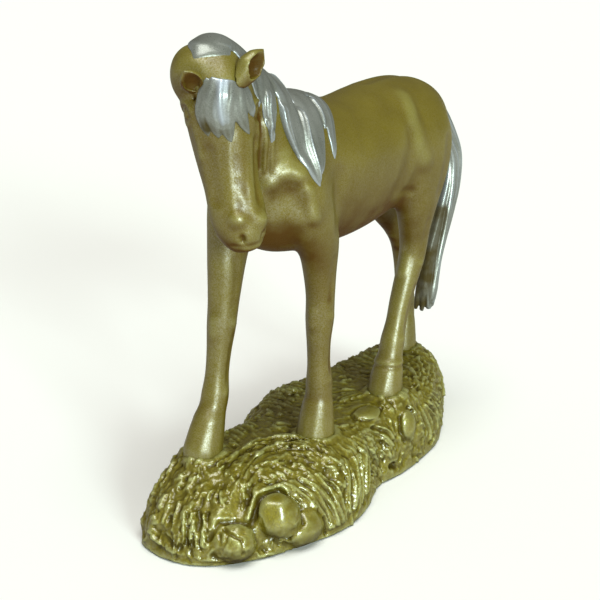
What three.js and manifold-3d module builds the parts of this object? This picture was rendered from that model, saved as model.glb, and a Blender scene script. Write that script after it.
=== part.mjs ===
// A walking horse statue of cast resin on a ground-shaped base, with a lowered head turned to its left.
// Millimetres, +Z up. The horse walks towards -Y and its left side is +X. The origin is under the middle of
// the base.
import * as THREE from "three";
import { mergeVertices } from "three/addons/utils/BufferGeometryUtils.js";
import Module from "manifold-3d";

const wasm = await Module();
wasm.setup();

// Horse
const WITHERS_HEIGHT = 135; // soles to withers
const HEAD_TURN = 42; // degrees that the face looks to the left of the way the horse walks
const FORE_JOINT = 69; // height of the foreleg joints above the soles
const HIND_JOINT = 68; // height of the hind leg joints above the soles

// Base
const BASE_LENGTH = 201;
const BASE_WIDTH = 77;
const BASE_HEIGHT = 28; // floor to soles
const BASE_EDGE = 7; // height of the steep rim
const EDGE_START = 6; // power: a higher one keeps the ground level further out
const REAR_EDGE_START = 16; // the same at the rear end
const EDGE_DROP = 0.6; // power: a lower one makes it end in a steeper drop
const HOOF_SINK = 1.2; // how far the soles sit in the ground
const HOOF_GROUND = 9.5; // radius of the level ground round a hoof
const HOOF_SLOPE = 16; // radius where it has run out into the open ground
const TUFT_WIDTH = 5; // combed grass on the ground
const TUFT_HEIGHT = 1.7;
const TUFT_TIP = 0.6; // fullness of a tuft at its ends
const FURROW_DEPTH = 1.8; // between the tufts that fall over the edge
const FURROW_START = 0.6; // share of the way from the middle to the rim where the furrows start

// Felt under the base
const FELT_THICKNESS = 2;
const FELT_PROUD = 0.5; // stands below the base's rim
const FELT_MARGIN = 7; // rim left round the felt

// Glued joints
const GLUE_GAP = 0.3; // adhesive film between two pieces

// Steel reinforcement
const WIRE_DIAMETER = 3; // leg wires
const WIRE_IN_TRUNK = 13; // rise above the leg joint
const WIRE_IN_BASE = 12; // depth below the soles
const DOWEL_DIAMETER = 5; // neck dowel
const DOWEL_LENGTH = 26;
const TAIL_PIN_DIAMETER = 2.5;
const TAIL_PIN_LENGTH = 16;
const TAIL_PIN_IN_RUMP = 0.6; // share of its length

// Ears
const EAR_LENGTH = 13;
const EAR_WIDTH = 9;
const EAR_PEG_DIAMETER = 2.4;
const EAR_PEG_LENGTH = 5;

// Eyes
const EYE_DIAMETER = 6;
const EYE_PROUD = 1.4; // stands out of the cheek

// Hair
const LOCK_THICKNESS = 3.2; // mane and forelock locks at their fullest
const MANE_LIFT = 2; // how far the mane's locks stand off their path, so that their edges lie on the neck
const CREST_THICKNESS = 4.2; // roll of hair along the top of the neck
const CREST_WIDTH = 15;
const TAIL_WIDTH = 8.4; // fullest part of the tail, across the horse
const TAIL_DEPTH = 11.6; // and along it

// Mesh fineness
const TRUNK_SIDES = 24;
const LEG_SIDES = 12;
const HEAD_SIDES = 20;
const TAIL_SIDES = 12;
const LOCK_SIDES = 8;
const EAR_SIDES = 10;
const BAR_SIDES = 16;
const WIRE_SIDES = 8;
const WIRE_STEPS = 14;
const BASE_SEGMENTS = 68; // even, as every second line is a furrow
const BASE_RINGS = 9;
const RING_CROWDING = 1.6; // power that draws the rings together near the rim
const STONE_FACES = [10, 7]; // round and up
const EYE_FACES = [12, 8];
const TUFT_SIDES = 6;
const TUFT_STEPS = 2;

// The rows of the horse's forms are drawn on a grid
const GRID_STEPS = 135; // from the soles to the withers
const SIZE = WITHERS_HEIGHT / GRID_STEPS; // of one step
const BLOCK = 4 * Math.max(BASE_LENGTH, WITHERS_HEIGHT); // edge of a cutting block
const RIGHT = [-1, 0, 0];

const vector = (p) => new THREE.Vector3(...p);
const drawn = (numbers) => numbers.map((n) => n * SIZE);
const radians = THREE.MathUtils.degToRad;

// Smooth value at t, from 0 to the last index, through a list of numbers
function through(list, t) {
  const last = list.length - 1;
  const i = Math.min(Math.floor(t), last - 1);
  const f = t - i;
  const [b, c] = [list[i], list[i + 1]];
  const a = i > 0 ? list[i - 1] : 2 * b - c;
  const d = i + 2 <= last ? list[i + 2] : 2 * c - b;
  return b + 0.5 * f * (c - a + f * (2 * a - 5 * b + 4 * c - d + f * (3 * (b - c) + d - a)));
}

// A sculpted form: rounded sections strung along a smooth spine. A station is { at, half, top, under, side }:
// its centre, half width, reach to the top or front, reach to the underside or back, and the direction across
// it, which is to the right where none is given. The sections stand square to the spine, or to one facing.
class Form {
  constructor(stations, { sides, steps = 2, domes = [0, 0], facing = null }) {
    Object.assign(this, { stations, sides, steps, domes, facing });
    this.last = stations.length - 1;
  }

  number(key, t) {
    return through(this.stations.map((s) => s[key]), t);
  }

  spot(t, key = "at") {
    return vector([0, 1, 2].map((k) => through(this.stations.map((s) => (s[key] ?? RIGHT)[k]), t)));
  }

  // Centre and axes of the section at t
  frame(t) {
    const small = 0.01;
    const step = this.spot(Math.min(t + small, this.last)).sub(this.spot(Math.max(t - small, 0)));
    const along = this.facing?.clone() ?? step.normalize();
    const side = this.spot(t, "side").projectOnPlane(along).normalize();
    return { centre: this.spot(t), along, side, top: side.clone().cross(along) };
  }

  // Point on the skin at t and angle: 0 is the right side, a quarter turn is the top, half a turn is the left
  point(t, angle, lift = 0, shrink = 1, shift = 0) {
    const { centre, along, side, top } = this.frame(t);
    const [c, s] = [Math.cos(angle), Math.sin(angle)];
    const across = (this.number("half", t) + lift) * c;
    const upright = (this.number(s > 0 ? "top" : "under", t) + lift) * s;
    return centre
      .addScaledVector(side, across * shrink)
      .addScaledVector(top, upright * shrink)
      .addScaledVector(along, shift);
  }

  // Place along a falling spine where it passes a height
  placeAtHeight(height) {
    let [above, below] = [0, this.last];
    while (below - above > 1e-6) {
      const t = (above + below) / 2;
      if (this.spot(t).z > height) above = t;
      else below = t;
    }
    return below;
  }

  // Closed solid, optionally grown all over by a clearance
  solid(grow = 0) {
    const rings = [];
    const ring = (t, shrink, shift) =>
      rings.push(
        Array.from({ length: this.sides }, (_, k) =>
          this.point(t, (k * 2 * Math.PI) / this.sides, grow, shrink, shift),
        ),
      );
    const domeSteps = [0.92, 0.7, 0.38];
    const count = this.last * this.steps;
    const [first, final] = this.domes.map((d) => d + grow);
    for (const reach of this.domes[0] ? domeSteps : []) ring(0, Math.sqrt(1 - reach ** 2), -first * reach);
    for (let i = 0; i <= count; i++) {
      const start = i === 0 && !this.domes[0];
      const end = i === count && !this.domes[1];
      ring(i / this.steps, 1, start ? -grow : end ? grow : 0);
    }
    for (const reach of this.domes[1] ? [...domeSteps].reverse() : []) {
      ring(this.last, Math.sqrt(1 - reach ** 2), final * reach);
    }
    const tips = [
      this.spot(0).addScaledVector(this.frame(0).along, -first),
      this.spot(this.last).addScaledVector(this.frame(this.last).along, final),
    ];
    return solidOf(skin(rings, tips));
  }
}

// Mesh over rings of points, closed by a fan to a tip at each end
function skin(rings, tips) {
  const count = rings[0].length;
  const points = [...rings.flat(), ...tips];
  const [start, end] = [points.length - 2, points.length - 1];
  const faces = [];
  for (let k = 0; k < count; k++) {
    const next = (k + 1) % count;
    for (let i = 0; i + 1 < rings.length; i++) {
      const [a, b] = [i * count + k, i * count + next];
      const [c, d] = [a + count, b + count];
      faces.push(a, c, b, b, c, d);
    }
    const last = (rings.length - 1) * count;
    faces.push(start, k, next, end, last + next, last + k);
  }
  const geometry = new THREE.BufferGeometry().setFromPoints(points);
  geometry.setIndex(faces);
  return geometry;
}

// Closed mesh as a solid that can be joined and cut
function solidOf(geometry) {
  const bare = geometry.clone();
  bare.deleteAttribute("normal");
  bare.deleteAttribute("uv");
  const merged = mergeVertices(bare, 1e-4);
  const mesh = new wasm.Mesh({
    numProp: 3,
    vertProperties: merged.attributes.position.array,
    triVerts: new Uint32Array(merged.index.array),
  });
  return new wasm.Manifold(mesh);
}

function geometryOf(solid) {
  const mesh = solid.getMesh();
  const geometry = new THREE.BufferGeometry();
  geometry.setAttribute("position", new THREE.BufferAttribute(mesh.vertProperties, 3));
  geometry.setIndex(new THREE.BufferAttribute(mesh.triVerts, 1));
  geometry.computeVertexNormals();
  return geometry;
}

const join = (solids) => solids.reduce((all, next) => all.add(next));

// Block that fills one side of a level plane
function levelBlock(height, above) {
  const block = new THREE.BoxGeometry(BLOCK, BLOCK, BLOCK);
  return solidOf(block.translate(0, 0, height + (above ? BLOCK / 2 : -BLOCK / 2)));
}

// Round bar between two points
function bar([from, to], diameter) {
  const along = to.clone().sub(from);
  const rod = new THREE.CylinderGeometry(diameter / 2, diameter / 2, along.length(), BAR_SIDES);
  rod.applyQuaternion(new THREE.Quaternion().setFromUnitVectors(vector([0, 1, 0]), along.normalize()));
  return solidOf(rod.translate(...from.clone().lerp(to, 0.5).toArray()));
}

// Blind hole that takes such a bar with the glue film round it
function boreFor([from, to], diameter) {
  const spare = to.clone().sub(from).setLength(GLUE_GAP);
  return bar([from.clone().sub(spare), to.clone().add(spare)], diameter + 2 * GLUE_GAP);
}

// Trunk, from the dock to the breast: place along the back, heights of the top, the widest level and the
// underside, half width
const trunkForm = new Form(
  [
    [73, 121.5, 114, 106, 6],
    [68, 126, 111, 96, 13],
    [59, 129.8, 109, 89, 18.5],
    [47, 132.5, 107, 84, 21.5],
    [32, 133, 105, 79, 22],
    [14, 131.5, 103, 75, 23],
    [-4, 129.5, 101, 73, 22.5],
    [-20, 131.3, 102, 73, 21],
    [-34, 134.5, 103, 74, 19.5],
    [-47, 132, 102, 76, 18.5],
    [-57, 120, 101, 80, 15.5],
    [-63, 113, 100, 86, 11],
  ]
    .map(drawn)
    .map(([y, top, level, under, half]) => ({
      at: [0, y, level],
      half,
      top: top - level,
      under: level - under,
    })),
  { sides: TRUNK_SIDES, domes: drawn([4, 5]), facing: vector([0, -1, 0]) },
);

// Every lower leg, from the cannon to the sole: height, half width, reach to the front and to the back
const CANNON_TO_SOLE = [
  [30, 4.3, 4.6, 4.9],
  [23, 5.1, 5.4, 5.8],
  [17.5, 5, 5.2, 5.5],
  [13.5, 6, 6.3, 6],
  [2.5, 7.3, 8.6, 6.8],
  [0, 7.4, 8.8, 6.8],
];

// Station of a leg or the neck from a row: centre, half width, and the two reaches
const limbStation = ([x, y, z, half, top, under]) => ({ at: [x, y, z], half, top, under });

// One whole leg: rows are [x, y, z, half width, front, back] down to the knee or hock, and [x, y] below it
function legForm(upper, lower) {
  const rows = [...upper, ...lower.map((place, k) => [...place, ...CANNON_TO_SOLE[k]])];
  return new Form(rows.map(drawn).map(limbStation), { sides: LEG_SIDES, domes: drawn([5, 0]) });
}

const legs = [
  {
    name: "left_foreleg",
    joint: FORE_JOINT,
    form: legForm(
      [
        [11, -36, 120, 5, 8, 9],
        [14, -43, 107, 7, 12, 13],
        [15.5, -43, 94, 7.6, 12, 13],
        [15, -37, 82, 7.6, 10, 11],
        [13.6, -33.2, 69, 6.4, 7.8, 7.2],
        [13.2, -32.2, 58, 5.4, 6.2, 5.8],
        [13, -32.3, 48, 5.6, 5.8, 5.3],
        [13, -33, 40, 4.7, 4.9, 5],
      ],
      [
        [13, -33],
        [12.8, -32.4],
        [12.7, -32.4],
        [12.6, -32.8],
        [12.4, -33.9],
        [12.4, -34],
      ],
    ),
  },
  {
    name: "right_foreleg",
    joint: FORE_JOINT,
    form: legForm(
      [
        [-11, -40, 120, 5, 8, 9],
        [-14, -48, 107, 7, 12, 13],
        [-15, -51, 94, 7.6, 11, 13],
        [-14.5, -53, 82, 7.6, 10, 11],
        [-13.5, -56.5, 69, 6.8, 7.8, 8],
        [-13.2, -58.5, 58, 5.8, 6.2, 6.4],
        [-13, -60.3, 48, 5.6, 5.8, 5.3],
        [-13, -62, 40, 4.7, 4.9, 5],
      ],
      [
        [-13, -63.8],
        [-13, -65],
        [-13, -66.8],
        [-13, -68.8],
        [-13, -72.7],
        [-13, -73],
      ],
    ),
  },
  {
    name: "left_hind_leg",
    joint: HIND_JOINT,
    form: legForm(
      [
        [11, 51, 121, 6, 19, 9],
        [14.6, 49, 110, 8.8, 24, 13],
        [15.6, 45, 97, 9, 25, 13],
        [15, 40.5, 85, 8.4, 16.5, 12],
        [14, 39.5, 74, 7, 10, 10],
        [13, 40.5, 65, 5.9, 7, 7.8],
        [12.5, 40, 57, 5.3, 6.2, 7],
        [12.3, 36, 48, 4.9, 5.5, 5.5],
        [12, 31.2, 37, 4.5, 4.9, 5],
      ],
      [
        [12, 28.6],
        [12, 26],
        [12, 24.4],
        [12, 23.2],
        [12, 20.7],
        [12, 20.5],
      ],
    ),
  },
  {
    name: "right_hind_leg",
    joint: HIND_JOINT,
    form: legForm(
      [
        [-11, 53, 121, 6, 19, 10],
        [-14.6, 51, 110, 8.8, 24, 18],
        [-15.6, 51, 97, 9, 24, 18],
        [-15, 55.5, 85, 8.4, 17, 16],
        [-13.8, 63, 73, 7.2, 11, 11.5],
        [-12.9, 69.5, 64, 5.9, 8, 8.5],
        [-12.5, 75, 55, 5.3, 6.2, 7.5],
        [-12.3, 77.5, 46, 4.9, 5.5, 5.5],
        [-12, 78, 37, 4.5, 4.9, 5],
      ],
      [
        [-12, 78],
        [-12, 78],
        [-12, 77.6],
        [-12, 77],
        [-12, 76],
        [-12, 76],
      ],
    ),
  },
];

// Neck, from inside the trunk to the arch over the poll: centre, half width, reach to the crest and throat
const neckForm = new Form(
  [
    [0, -34, 102, 16, 21, 20],
    [0, -46, 112, 16, 19, 22],
    [-2, -57, 126, 14.5, 17.5, 19],
    [-4.5, -67, 138, 13.5, 13, 15],
    [-6, -76, 144.5, 13.2, 12.5, 12],
    [-5, -83, 143.5, 9.8, 9.5, 10],
  ]
    .map(drawn)
    .map(limbStation),
  { sides: HEAD_SIDES, domes: drawn([6, 5]) },
);
const NECK_JOINT = 1.6; // section where the neck meets the trunk

// The head hangs from the poll. Its own directions are left, front and up.
const headOrigin = vector(drawn([4, -88, 0]));
const headFront = vector([Math.sin(radians(HEAD_TURN)), -Math.cos(radians(HEAD_TURN)), 0]);
const headLeft = vector([Math.cos(radians(HEAD_TURN)), Math.sin(radians(HEAD_TURN)), 0]);
const headWay = ([left, front, up]) =>
  vector([0, 0, up]).addScaledVector(headLeft, left).addScaledVector(headFront, front);
const inHead = (place) => headWay(place).add(headOrigin);

// Head, from the poll to the lips: left, front and height of the centre, half width, reach to face and jaw
const headForm = new Form(
  [
    [3.5, -14, 150, 8.5, 8, 8],
    [4.2, -13, 143, 11.6, 11.5, 11],
    [5.2, -12, 134, 12.3, 12, 13.5],
    [6.2, -11, 125, 11.6, 11, 15],
    [7.2, -9, 116, 10.4, 9.6, 12.5],
    [8.6, -6.5, 107, 9.5, 8.2, 9],
    [10.2, -4, 98, 9.8, 7.6, 7.5],
    [12, -2.5, 91.5, 8.4, 7.4, 7],
    [13.6, -2.5, 87.6, 6, 5.6, 5.2],
  ]
    .map(drawn)
    .map(([left, front, z, half, top, under]) => ({
      at: inHead([left, front, z]).toArray(),
      half,
      top,
      under,
      side: headLeft.clone().negate().toArray(),
    })),
  { sides: HEAD_SIDES, domes: drawn([4, 2]) },
);
const EYE_SECTION = 2.15; // section of the head that the eyes lie in
const EYE_ANGLES = [15, 165]; // degrees round that section

// Tail, from inside the rump to its tips: centre, and share of the full width and depth
const tailForm = new Form(
  [
    [0, 64, 115, 0.9],
    [0.5, 73, 116, 0.95],
    [1.5, 79.5, 111, 0.95],
    [3.5, 84.5, 102, 0.95],
    [5, 88, 92, 0.98],
    [5.5, 86.5, 81, 1],
    [5.8, 82, 71, 1],
    [6, 76.5, 60.5, 0.95],
    [6, 71, 49, 0.92],
    [6, 68, 38, 0.95],
    [6.3, 66.5, 31, 0.92],
    [6.5, 66, 25.5, 0.8],
  ].map(([x, y, z, fullness]) => ({
    at: drawn([x, y, z]),
    half: (fullness * TAIL_WIDTH) / 2,
    top: (fullness * TAIL_DEPTH) / 2,
    under: (fullness * TAIL_DEPTH) / 2,
  })),
  { sides: TAIL_SIDES, domes: drawn([3, 1.5]) },
);
const TAIL_JOINT = 1; // section where the tail meets the rump

// Mane: a roll along the crest of the neck, and locks that fall over its left side
const CREST = [
  [1, -83, 150],
  [-2, -79, 156],
  [-3.5, -71, 155.5],
  [-2.5, -61, 148],
  [-1, -50, 141.5],
  [0, -40, 138],
  [0, -28, 134],
  [0, -17, 130],
];
const MANE_LOCKS = [
  { width: 9, path: [[-4, -70, 156], [4, -64, 147], [9.5, -65, 139], [12, -66, 131], [14, -65.5, 120]] },
  { width: 11, path: [[-3, -61, 148.5], [5, -57, 144], [10, -57, 136], [13, -58, 127]] },
  { width: 15, path: [[0, -49, 141], [9, -47, 135.5], [14, -48, 125], [18, -47, 114.5], [20, -43, 103]] },
  { width: 15, path: [[0, -39, 137.5], [9, -39, 132.5], [15, -40, 123], [18.5, -41, 113], [20, -41, 106]] },
  { width: 13, path: [[0, -29, 134], [8, -30, 130], [15.5, -32, 122], [20, -32, 113]] },
];

// Forelock: locks that fan out down the forehead, as sections of the head and angles round it in degrees
const FORELOCK = [
  { width: 6, path: [[0.7, 84], [1.3, 70], [2, 54], [2.7, 44]] },
  { width: 7, path: [[0.7, 88], [1.4, 78], [2.2, 70], [3.1, 66]] },
  { width: 7, path: [[0.7, 92], [1.5, 90], [2.4, 88], [3.3, 86]] },
  { width: 7, path: [[0.7, 96], [1.4, 104], [2.2, 110], [3.1, 112]] },
  { width: 6, path: [[0.7, 100], [1.3, 114], [2, 126], [2.8, 132]] },
];

function nearestOnSpine(form, point) {
  const samples = Array.from({ length: 8 * form.last + 1 }, (_, k) => form.spot(k / 8));
  return samples.reduce((best, p) => (p.distanceTo(point) < best.distanceTo(point) ? p : best));
}

// One lock of hair: it tapers along its path, lies flat on a form and reaches down into it
function lockOn(form, points, width, thickness, lift = 0) {
  const last = points.length - 1;
  const stations = points.map((point, k) => {
    const along = points[Math.min(k + 1, last)].clone().sub(points[Math.max(k - 1, 0)]);
    const outward = point.clone().sub(nearestOnSpine(form, point)).normalize();
    const swell = 0.18 + 0.82 * Math.sin(Math.PI * (0.12 + (0.8 * k) / last)) ** 0.8;
    return {
      at: point.clone().addScaledVector(outward, swell * lift).toArray(),
      half: (swell * width) / 2,
      top: (swell * thickness) / 2,
      under: swell * (1.5 * thickness + lift),
      side: along.cross(outward).normalize().toArray(),
    };
  });
  return new Form(stations, { sides: LOCK_SIDES, domes: [0, thickness / 2] }).solid();
}

// Ears: where each stands on the head, which way its tip points and which way its cup opens, each as left,
// front and up
const EARS = [
  { name: "left_ear", foot: [11.3, -5, 143.5], tip: [0.64, -0.15, 0.75], mouth: [0.45, 0.75, -0.4] },
  { name: "right_ear", foot: [-5, -3.8, 140], tip: [-0.45, 0.6, 0.66], mouth: [0.35, 0.7, -0.6] },
];
// Outside and hollow of an ear: shares of its length, and of its width for the half width and the depth
const EAR_OUTSIDE = [
  [-0.15, 0.3, 0.3],
  [0.1, 0.38, 0.36],
  [0.4, 0.5, 0.4],
  [0.7, 0.36, 0.28],
  [0.95, 0.08, 0.08],
];
const EAR_HOLLOW = [
  [0.22, 0.16, 0.16],
  [0.36, 0.34, 0.29],
  [0.5, 0.36, 0.29],
  [0.72, 0.24, 0.2],
  [0.9, 0.05, 0.08],
];
const EAR_MOUTH_SHIFT = 0.2; // share of the width that the hollow lies towards the mouth
const EAR_ROOT = 0.2; // share of the length that the peg reaches up

// A pointed cup on a peg, the space it takes and the hole for its peg
function makeEar({ name, foot, tip, mouth }) {
  const start = inHead(drawn(foot));
  const along = headWay(tip).normalize();
  const open = headWay(mouth).projectOnPlane(along).normalize();
  const side = along.clone().cross(open).toArray();
  const onAxis = (length) => start.clone().addScaledVector(along, length);
  const form = (rows, shift) =>
    new Form(
      rows.map(([share, half, depth]) => ({
        at: onAxis(share * EAR_LENGTH).addScaledVector(open, shift).toArray(),
        half: half * EAR_WIDTH,
        top: depth * EAR_WIDTH,
        under: depth * EAR_WIDTH,
        side,
      })),
      { sides: EAR_SIDES, steps: 1, domes: [1, 1] },
    );
  const outside = form(EAR_OUTSIDE, 0);
  const hollow = form(EAR_HOLLOW, EAR_MOUTH_SHIFT * EAR_WIDTH);
  const pegFoot = onAxis(-EAR_PEG_LENGTH);
  return {
    name,
    cup: outside.solid().subtract(hollow.solid()),
    space: outside.solid(GLUE_GAP),
    peg: bar([pegFoot, onAxis(EAR_ROOT * EAR_LENGTH)], EAR_PEG_DIAMETER),
    bore: boreFor([pegFoot, onAxis(EAR_LENGTH)], EAR_PEG_DIAMETER),
  };
}

// Ground outline, [x, y] round the base, and the stones in it: [x, y, depth below the soles] and radii
const GROUND_OUTLINE = [
  [-9, -105],
  [-23, -99],
  [-30, -82],
  [-26, -58],
  [-29, -36],
  [-38, -14],
  [-41, 8],
  [-34, 35],
  [-31, 55],
  [-30, 78],
  [-20, 93],
  [-8, 95],
  [5, 87],
  [14, 71],
  [21, 56],
  [26, 43],
  [29, 8],
  [27, -9],
  [33, -26],
  [36, -46],
  [31, -66],
  [20, -90],
  [6, -103],
];
const STONES = [
  { at: [23, -75, 15], radii: [9, 9, 9] },
  { at: [14, -91, 20], radii: [10, 9, 8] },
  { at: [28, -66, 21], radii: [7, 11, 7] },
  { at: [16, -2, 1.5], radii: [6.5, 8, 3] },
  { at: [25, 15, 10], radii: [4.5, 6, 8] },
];

// Tufts of combed grass, [x, y] along each: arches in front of the left foreleg
const GRASS_TUFTS = [
  [[-2, -79], [-2.5, -62], [3, -48], [14, -41.5], [28, -38.5]],
  [[5, -81], [3.5, -65], [8.5, -52], [18, -45], [30, -43]],
  [[12, -80], [10, -67], [14, -54], [22, -48.5], [31, -47]],
];

const rough = new THREE.CatmullRomCurve3(GROUND_OUTLINE.map(([x, y]) => vector([x, y, 0])), true);
const roughPoints = rough.getSpacedPoints(BASE_SEGMENTS).slice(1);
const roughBox = new THREE.Box3().setFromPoints(roughPoints);
const roughSize = roughBox.getSize(vector([0, 0, 0]));
const roughMiddle = roughBox.getCenter(vector([0, 0, 0]));

// Drawn ground point at the base's real length and width
const onBase = ([x, y], z) =>
  vector([
    ((x - roughMiddle.x) * BASE_WIDTH) / roughSize.x,
    ((y - roughMiddle.y) * BASE_LENGTH) / roughSize.y,
    z,
  ]);
const rim = roughPoints.map((p) => onBase([p.x, p.y], 0));
const horseShift = vector([-roughMiddle.x, -roughMiddle.y, 0]).multiplyScalar(SIZE).setZ(BASE_HEIGHT);
const soles = legs.map(({ form }) => form.spot(form.last).add(horseShift));

const fromSole = (x, y) => Math.min(...soles.map((sole) => Math.hypot(sole.x - x, sole.y - y)));
const clearOfHooves = (x, y) => THREE.MathUtils.smoothstep(fromSole(x, y), HOOF_GROUND, HOOF_SLOPE);

// Height of the ground: a plateau that rolls off to the rim, level round every hoof
function groundHeight(x, y, share) {
  const top = BASE_HEIGHT + HOOF_SINK;
  const rear = THREE.MathUtils.smoothstep(y, 0, BASE_LENGTH / 2);
  const start = THREE.MathUtils.lerp(EDGE_START, REAR_EDGE_START, rear);
  const open = BASE_EDGE + (top - BASE_EDGE) * (1 - share ** start) ** EDGE_DROP;
  return THREE.MathUtils.lerp(top, open, clearOfHooves(x, y));
}

// Depth of the furrow on one of the lines from the middle to the rim
function furrow(line, x, y, share) {
  const depth = line % 2 ? FURROW_DEPTH : 0;
  return depth * THREE.MathUtils.smoothstep(share, FURROW_START, 1) * clearOfHooves(x, y);
}

// Ground without stones: rings from the foot of the rim up to its edge and in to the middle
function groundSolid() {
  const rings = [rim.map((p) => p.clone().setZ(FELT_PROUD))];
  const edge = rim.map((p, i) => p.clone().setLength(p.length() - furrow(i, p.x, p.y, 1)).setZ(BASE_EDGE));
  rings.push(edge);
  for (let k = 1; k <= BASE_RINGS; k++) {
    const share = 1 - (k / (BASE_RINGS + 1)) ** RING_CROWDING;
    const line = rim.map((p, i) => {
      const spot = p.clone().multiplyScalar(share);
      const depth = furrow(i, spot.x, spot.y, share);
      const height = groundHeight(spot.x, spot.y, share) - depth * share;
      return spot.setLength(spot.length() - depth).setZ(height);
    });
    rings.push(line);
  }
  return solidOf(skin(rings, [vector([0, 0, FELT_PROUD]), vector([0, 0, groundHeight(0, 0, 0)])]));
}

// Share of the way from the middle to the rim at which a place lies
function rimShare(p) {
  const cross = (a, b) => a.x * b.y - a.y * b.x;
  const k = rim.findIndex((a, i) => cross(a, p) <= 0 && cross(p, rim[(i + 1) % rim.length]) < 0);
  const edge = rim[(k + 1) % rim.length].clone().sub(rim[k]);
  return cross(p, edge) / cross(rim[k], edge);
}

// One tuft: a tapering ridge that follows the ground
function tuft(path) {
  const points = path.map((place) => {
    const p = onBase(place, 0);
    return p.setZ(groundHeight(p.x, p.y, rimShare(p)));
  });
  const last = points.length - 1;
  const stations = points.map((point, k) => {
    const along = points[Math.min(k + 1, last)].clone().sub(points[Math.max(k - 1, 0)]);
    const fullness = k === 0 || k === last ? TUFT_TIP : 1;
    return {
      at: point.toArray(),
      half: (fullness * TUFT_WIDTH) / 2,
      top: fullness * TUFT_HEIGHT,
      under: TUFT_HEIGHT,
      side: along.cross(vector([0, 0, 1])).normalize().toArray(),
    };
  });
  return new Form(stations, { sides: TUFT_SIDES, steps: TUFT_STEPS }).solid();
}

function stone({ at: [x, y, depth], radii }) {
  const ball = new THREE.SphereGeometry(1, ...STONE_FACES).scale(...drawn(radii));
  return solidOf(ball.translate(...onBase([x, y], BASE_HEIGHT - depth * SIZE).toArray()));
}

// Felt, or with spare the recess for it
function feltSolid(spare = 0) {
  const points = rim.map((p) => p.clone().setLength(p.length() - FELT_MARGIN + spare));
  const shape = new THREE.Shape(points.map((p) => new THREE.Vector2(p.x, p.y)));
  return solidOf(new THREE.ExtrudeGeometry(shape, { depth: FELT_THICKNESS + spare, bevelEnabled: false }));
}

// Wire through a leg, along its spine from inside the trunk to inside the base. With slack it is the bore.
function legWire({ form, joint }, slack = 0) {
  const start = form.placeAtHeight(joint + WIRE_IN_TRUNK + slack);
  const spine = Array.from({ length: WIRE_STEPS + 1 }, (_, k) =>
    form.spot(THREE.MathUtils.lerp(start, form.last, k / WIRE_STEPS)),
  );
  const foot = [0.5, 1].map((share) => spine[WIRE_STEPS].clone().setZ(-share * (WIRE_IN_BASE + slack)));
  const round = new THREE.Shape().absarc(0, 0, WIRE_DIAMETER / 2 + slack, 0, 2 * Math.PI);
  return solidOf(
    new THREE.ExtrudeGeometry(round, {
      curveSegments: WIRE_SIDES / 2,
      steps: WIRE_STEPS,
      bevelEnabled: false,
      extrudePath: new THREE.CatmullRomCurve3([...spine, ...foot]),
    }),
  );
}

// Ends of a pin that lies along a form's spine, with a share of its length on the near side of the joint
function pinEnds(form, joint, length, nearShare) {
  const { centre, along } = form.frame(joint);
  return [-nearShare, 1 - nearShare].map((share) => centre.clone().addScaledVector(along, share * length));
}

const materials = {
  gold: new THREE.MeshStandardMaterial({ color: 0x8a7a2c, roughness: 0.4, metalness: 0.8 }),
  silver: new THREE.MeshStandardMaterial({ color: 0xa9aca6, roughness: 0.35, metalness: 0.8 }),
  steel: new THREE.MeshStandardMaterial({ color: 0x8c8f92, roughness: 0.45, metalness: 1 }),
  felt: new THREE.MeshStandardMaterial({ color: 0x2f3b2c, roughness: 1, metalness: 0 }),
};

function place(group, name, solid, material) {
  const mesh = new THREE.Mesh(geometryOf(solid), materials[material]);
  mesh.name = name;
  group.add(mesh);
}

const statue = new THREE.Group();
const horse = new THREE.Group();
horse.position.copy(horseShift);
statue.add(horse);

// Holes for the steel
const wireBores = legs.map((leg) => legWire(leg, GLUE_GAP));
const dowelEnds = pinEnds(neckForm, NECK_JOINT, DOWEL_LENGTH, 0.5);
const dowelBore = boreFor(dowelEnds, DOWEL_DIAMETER);
const tailPinEnds = pinEnds(tailForm, TAIL_JOINT, TAIL_PIN_LENGTH, TAIL_PIN_IN_RUMP);
const tailPinBore = boreFor(tailPinEnds, TAIL_PIN_DIAMETER);

// Torso: trunk with the shoulders and thighs, clear of the lower legs
const uppers = legs.map(({ form, joint }) => form.solid().intersect(levelBlock(joint, true)));
const lowerSpaces = legs.map(({ form, joint }) => form.solid(GLUE_GAP).intersect(levelBlock(joint, false)));
const trunk = trunkForm.solid().subtract(join(lowerSpaces));
const torsoHoles = join([...wireBores, dowelBore, tailPinBore]);
place(horse, "torso", join([trunk, ...uppers]).subtract(torsoHoles), "gold");

// Legs and their wires
legs.forEach(({ name, form, joint }, k) => {
  const lower = form.solid().intersect(levelBlock(joint - GLUE_GAP, false));
  place(horse, name, lower.subtract(wireBores[k]), "gold");
  place(horse, `${name}_wire`, legWire(legs[k]), "steel");
});

// Head and neck with the eyes, seated on the trunk, and the ears
const bodySpace = join([trunkForm.solid(GLUE_GAP), ...legs.map(({ form }) => form.solid(GLUE_GAP))]);
const headShape = (grow) => {
  const eyes = EYE_ANGLES.map((angle) => {
    const spot = headForm.point(EYE_SECTION, radians(angle), EYE_PROUD - EYE_DIAMETER / 2);
    const ball = new THREE.SphereGeometry(EYE_DIAMETER / 2 + grow, ...EYE_FACES);
    return solidOf(ball.translate(...spot.toArray()));
  });
  return join([neckForm.solid(grow), headForm.solid(grow), ...eyes]);
};
const headSpace = headShape(GLUE_GAP);
const ears = EARS.map(makeEar);
const headHoles = join([bodySpace, dowelBore, ...ears.map(({ bore }) => bore)]);
place(horse, "head_and_neck", headShape(0).subtract(headHoles), "gold");
place(horse, "neck_dowel", bar(dowelEnds, DOWEL_DIAMETER), "steel");
for (const { name, cup, peg } of ears) place(horse, name, cup.subtract(headSpace).add(peg), "gold");

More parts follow.
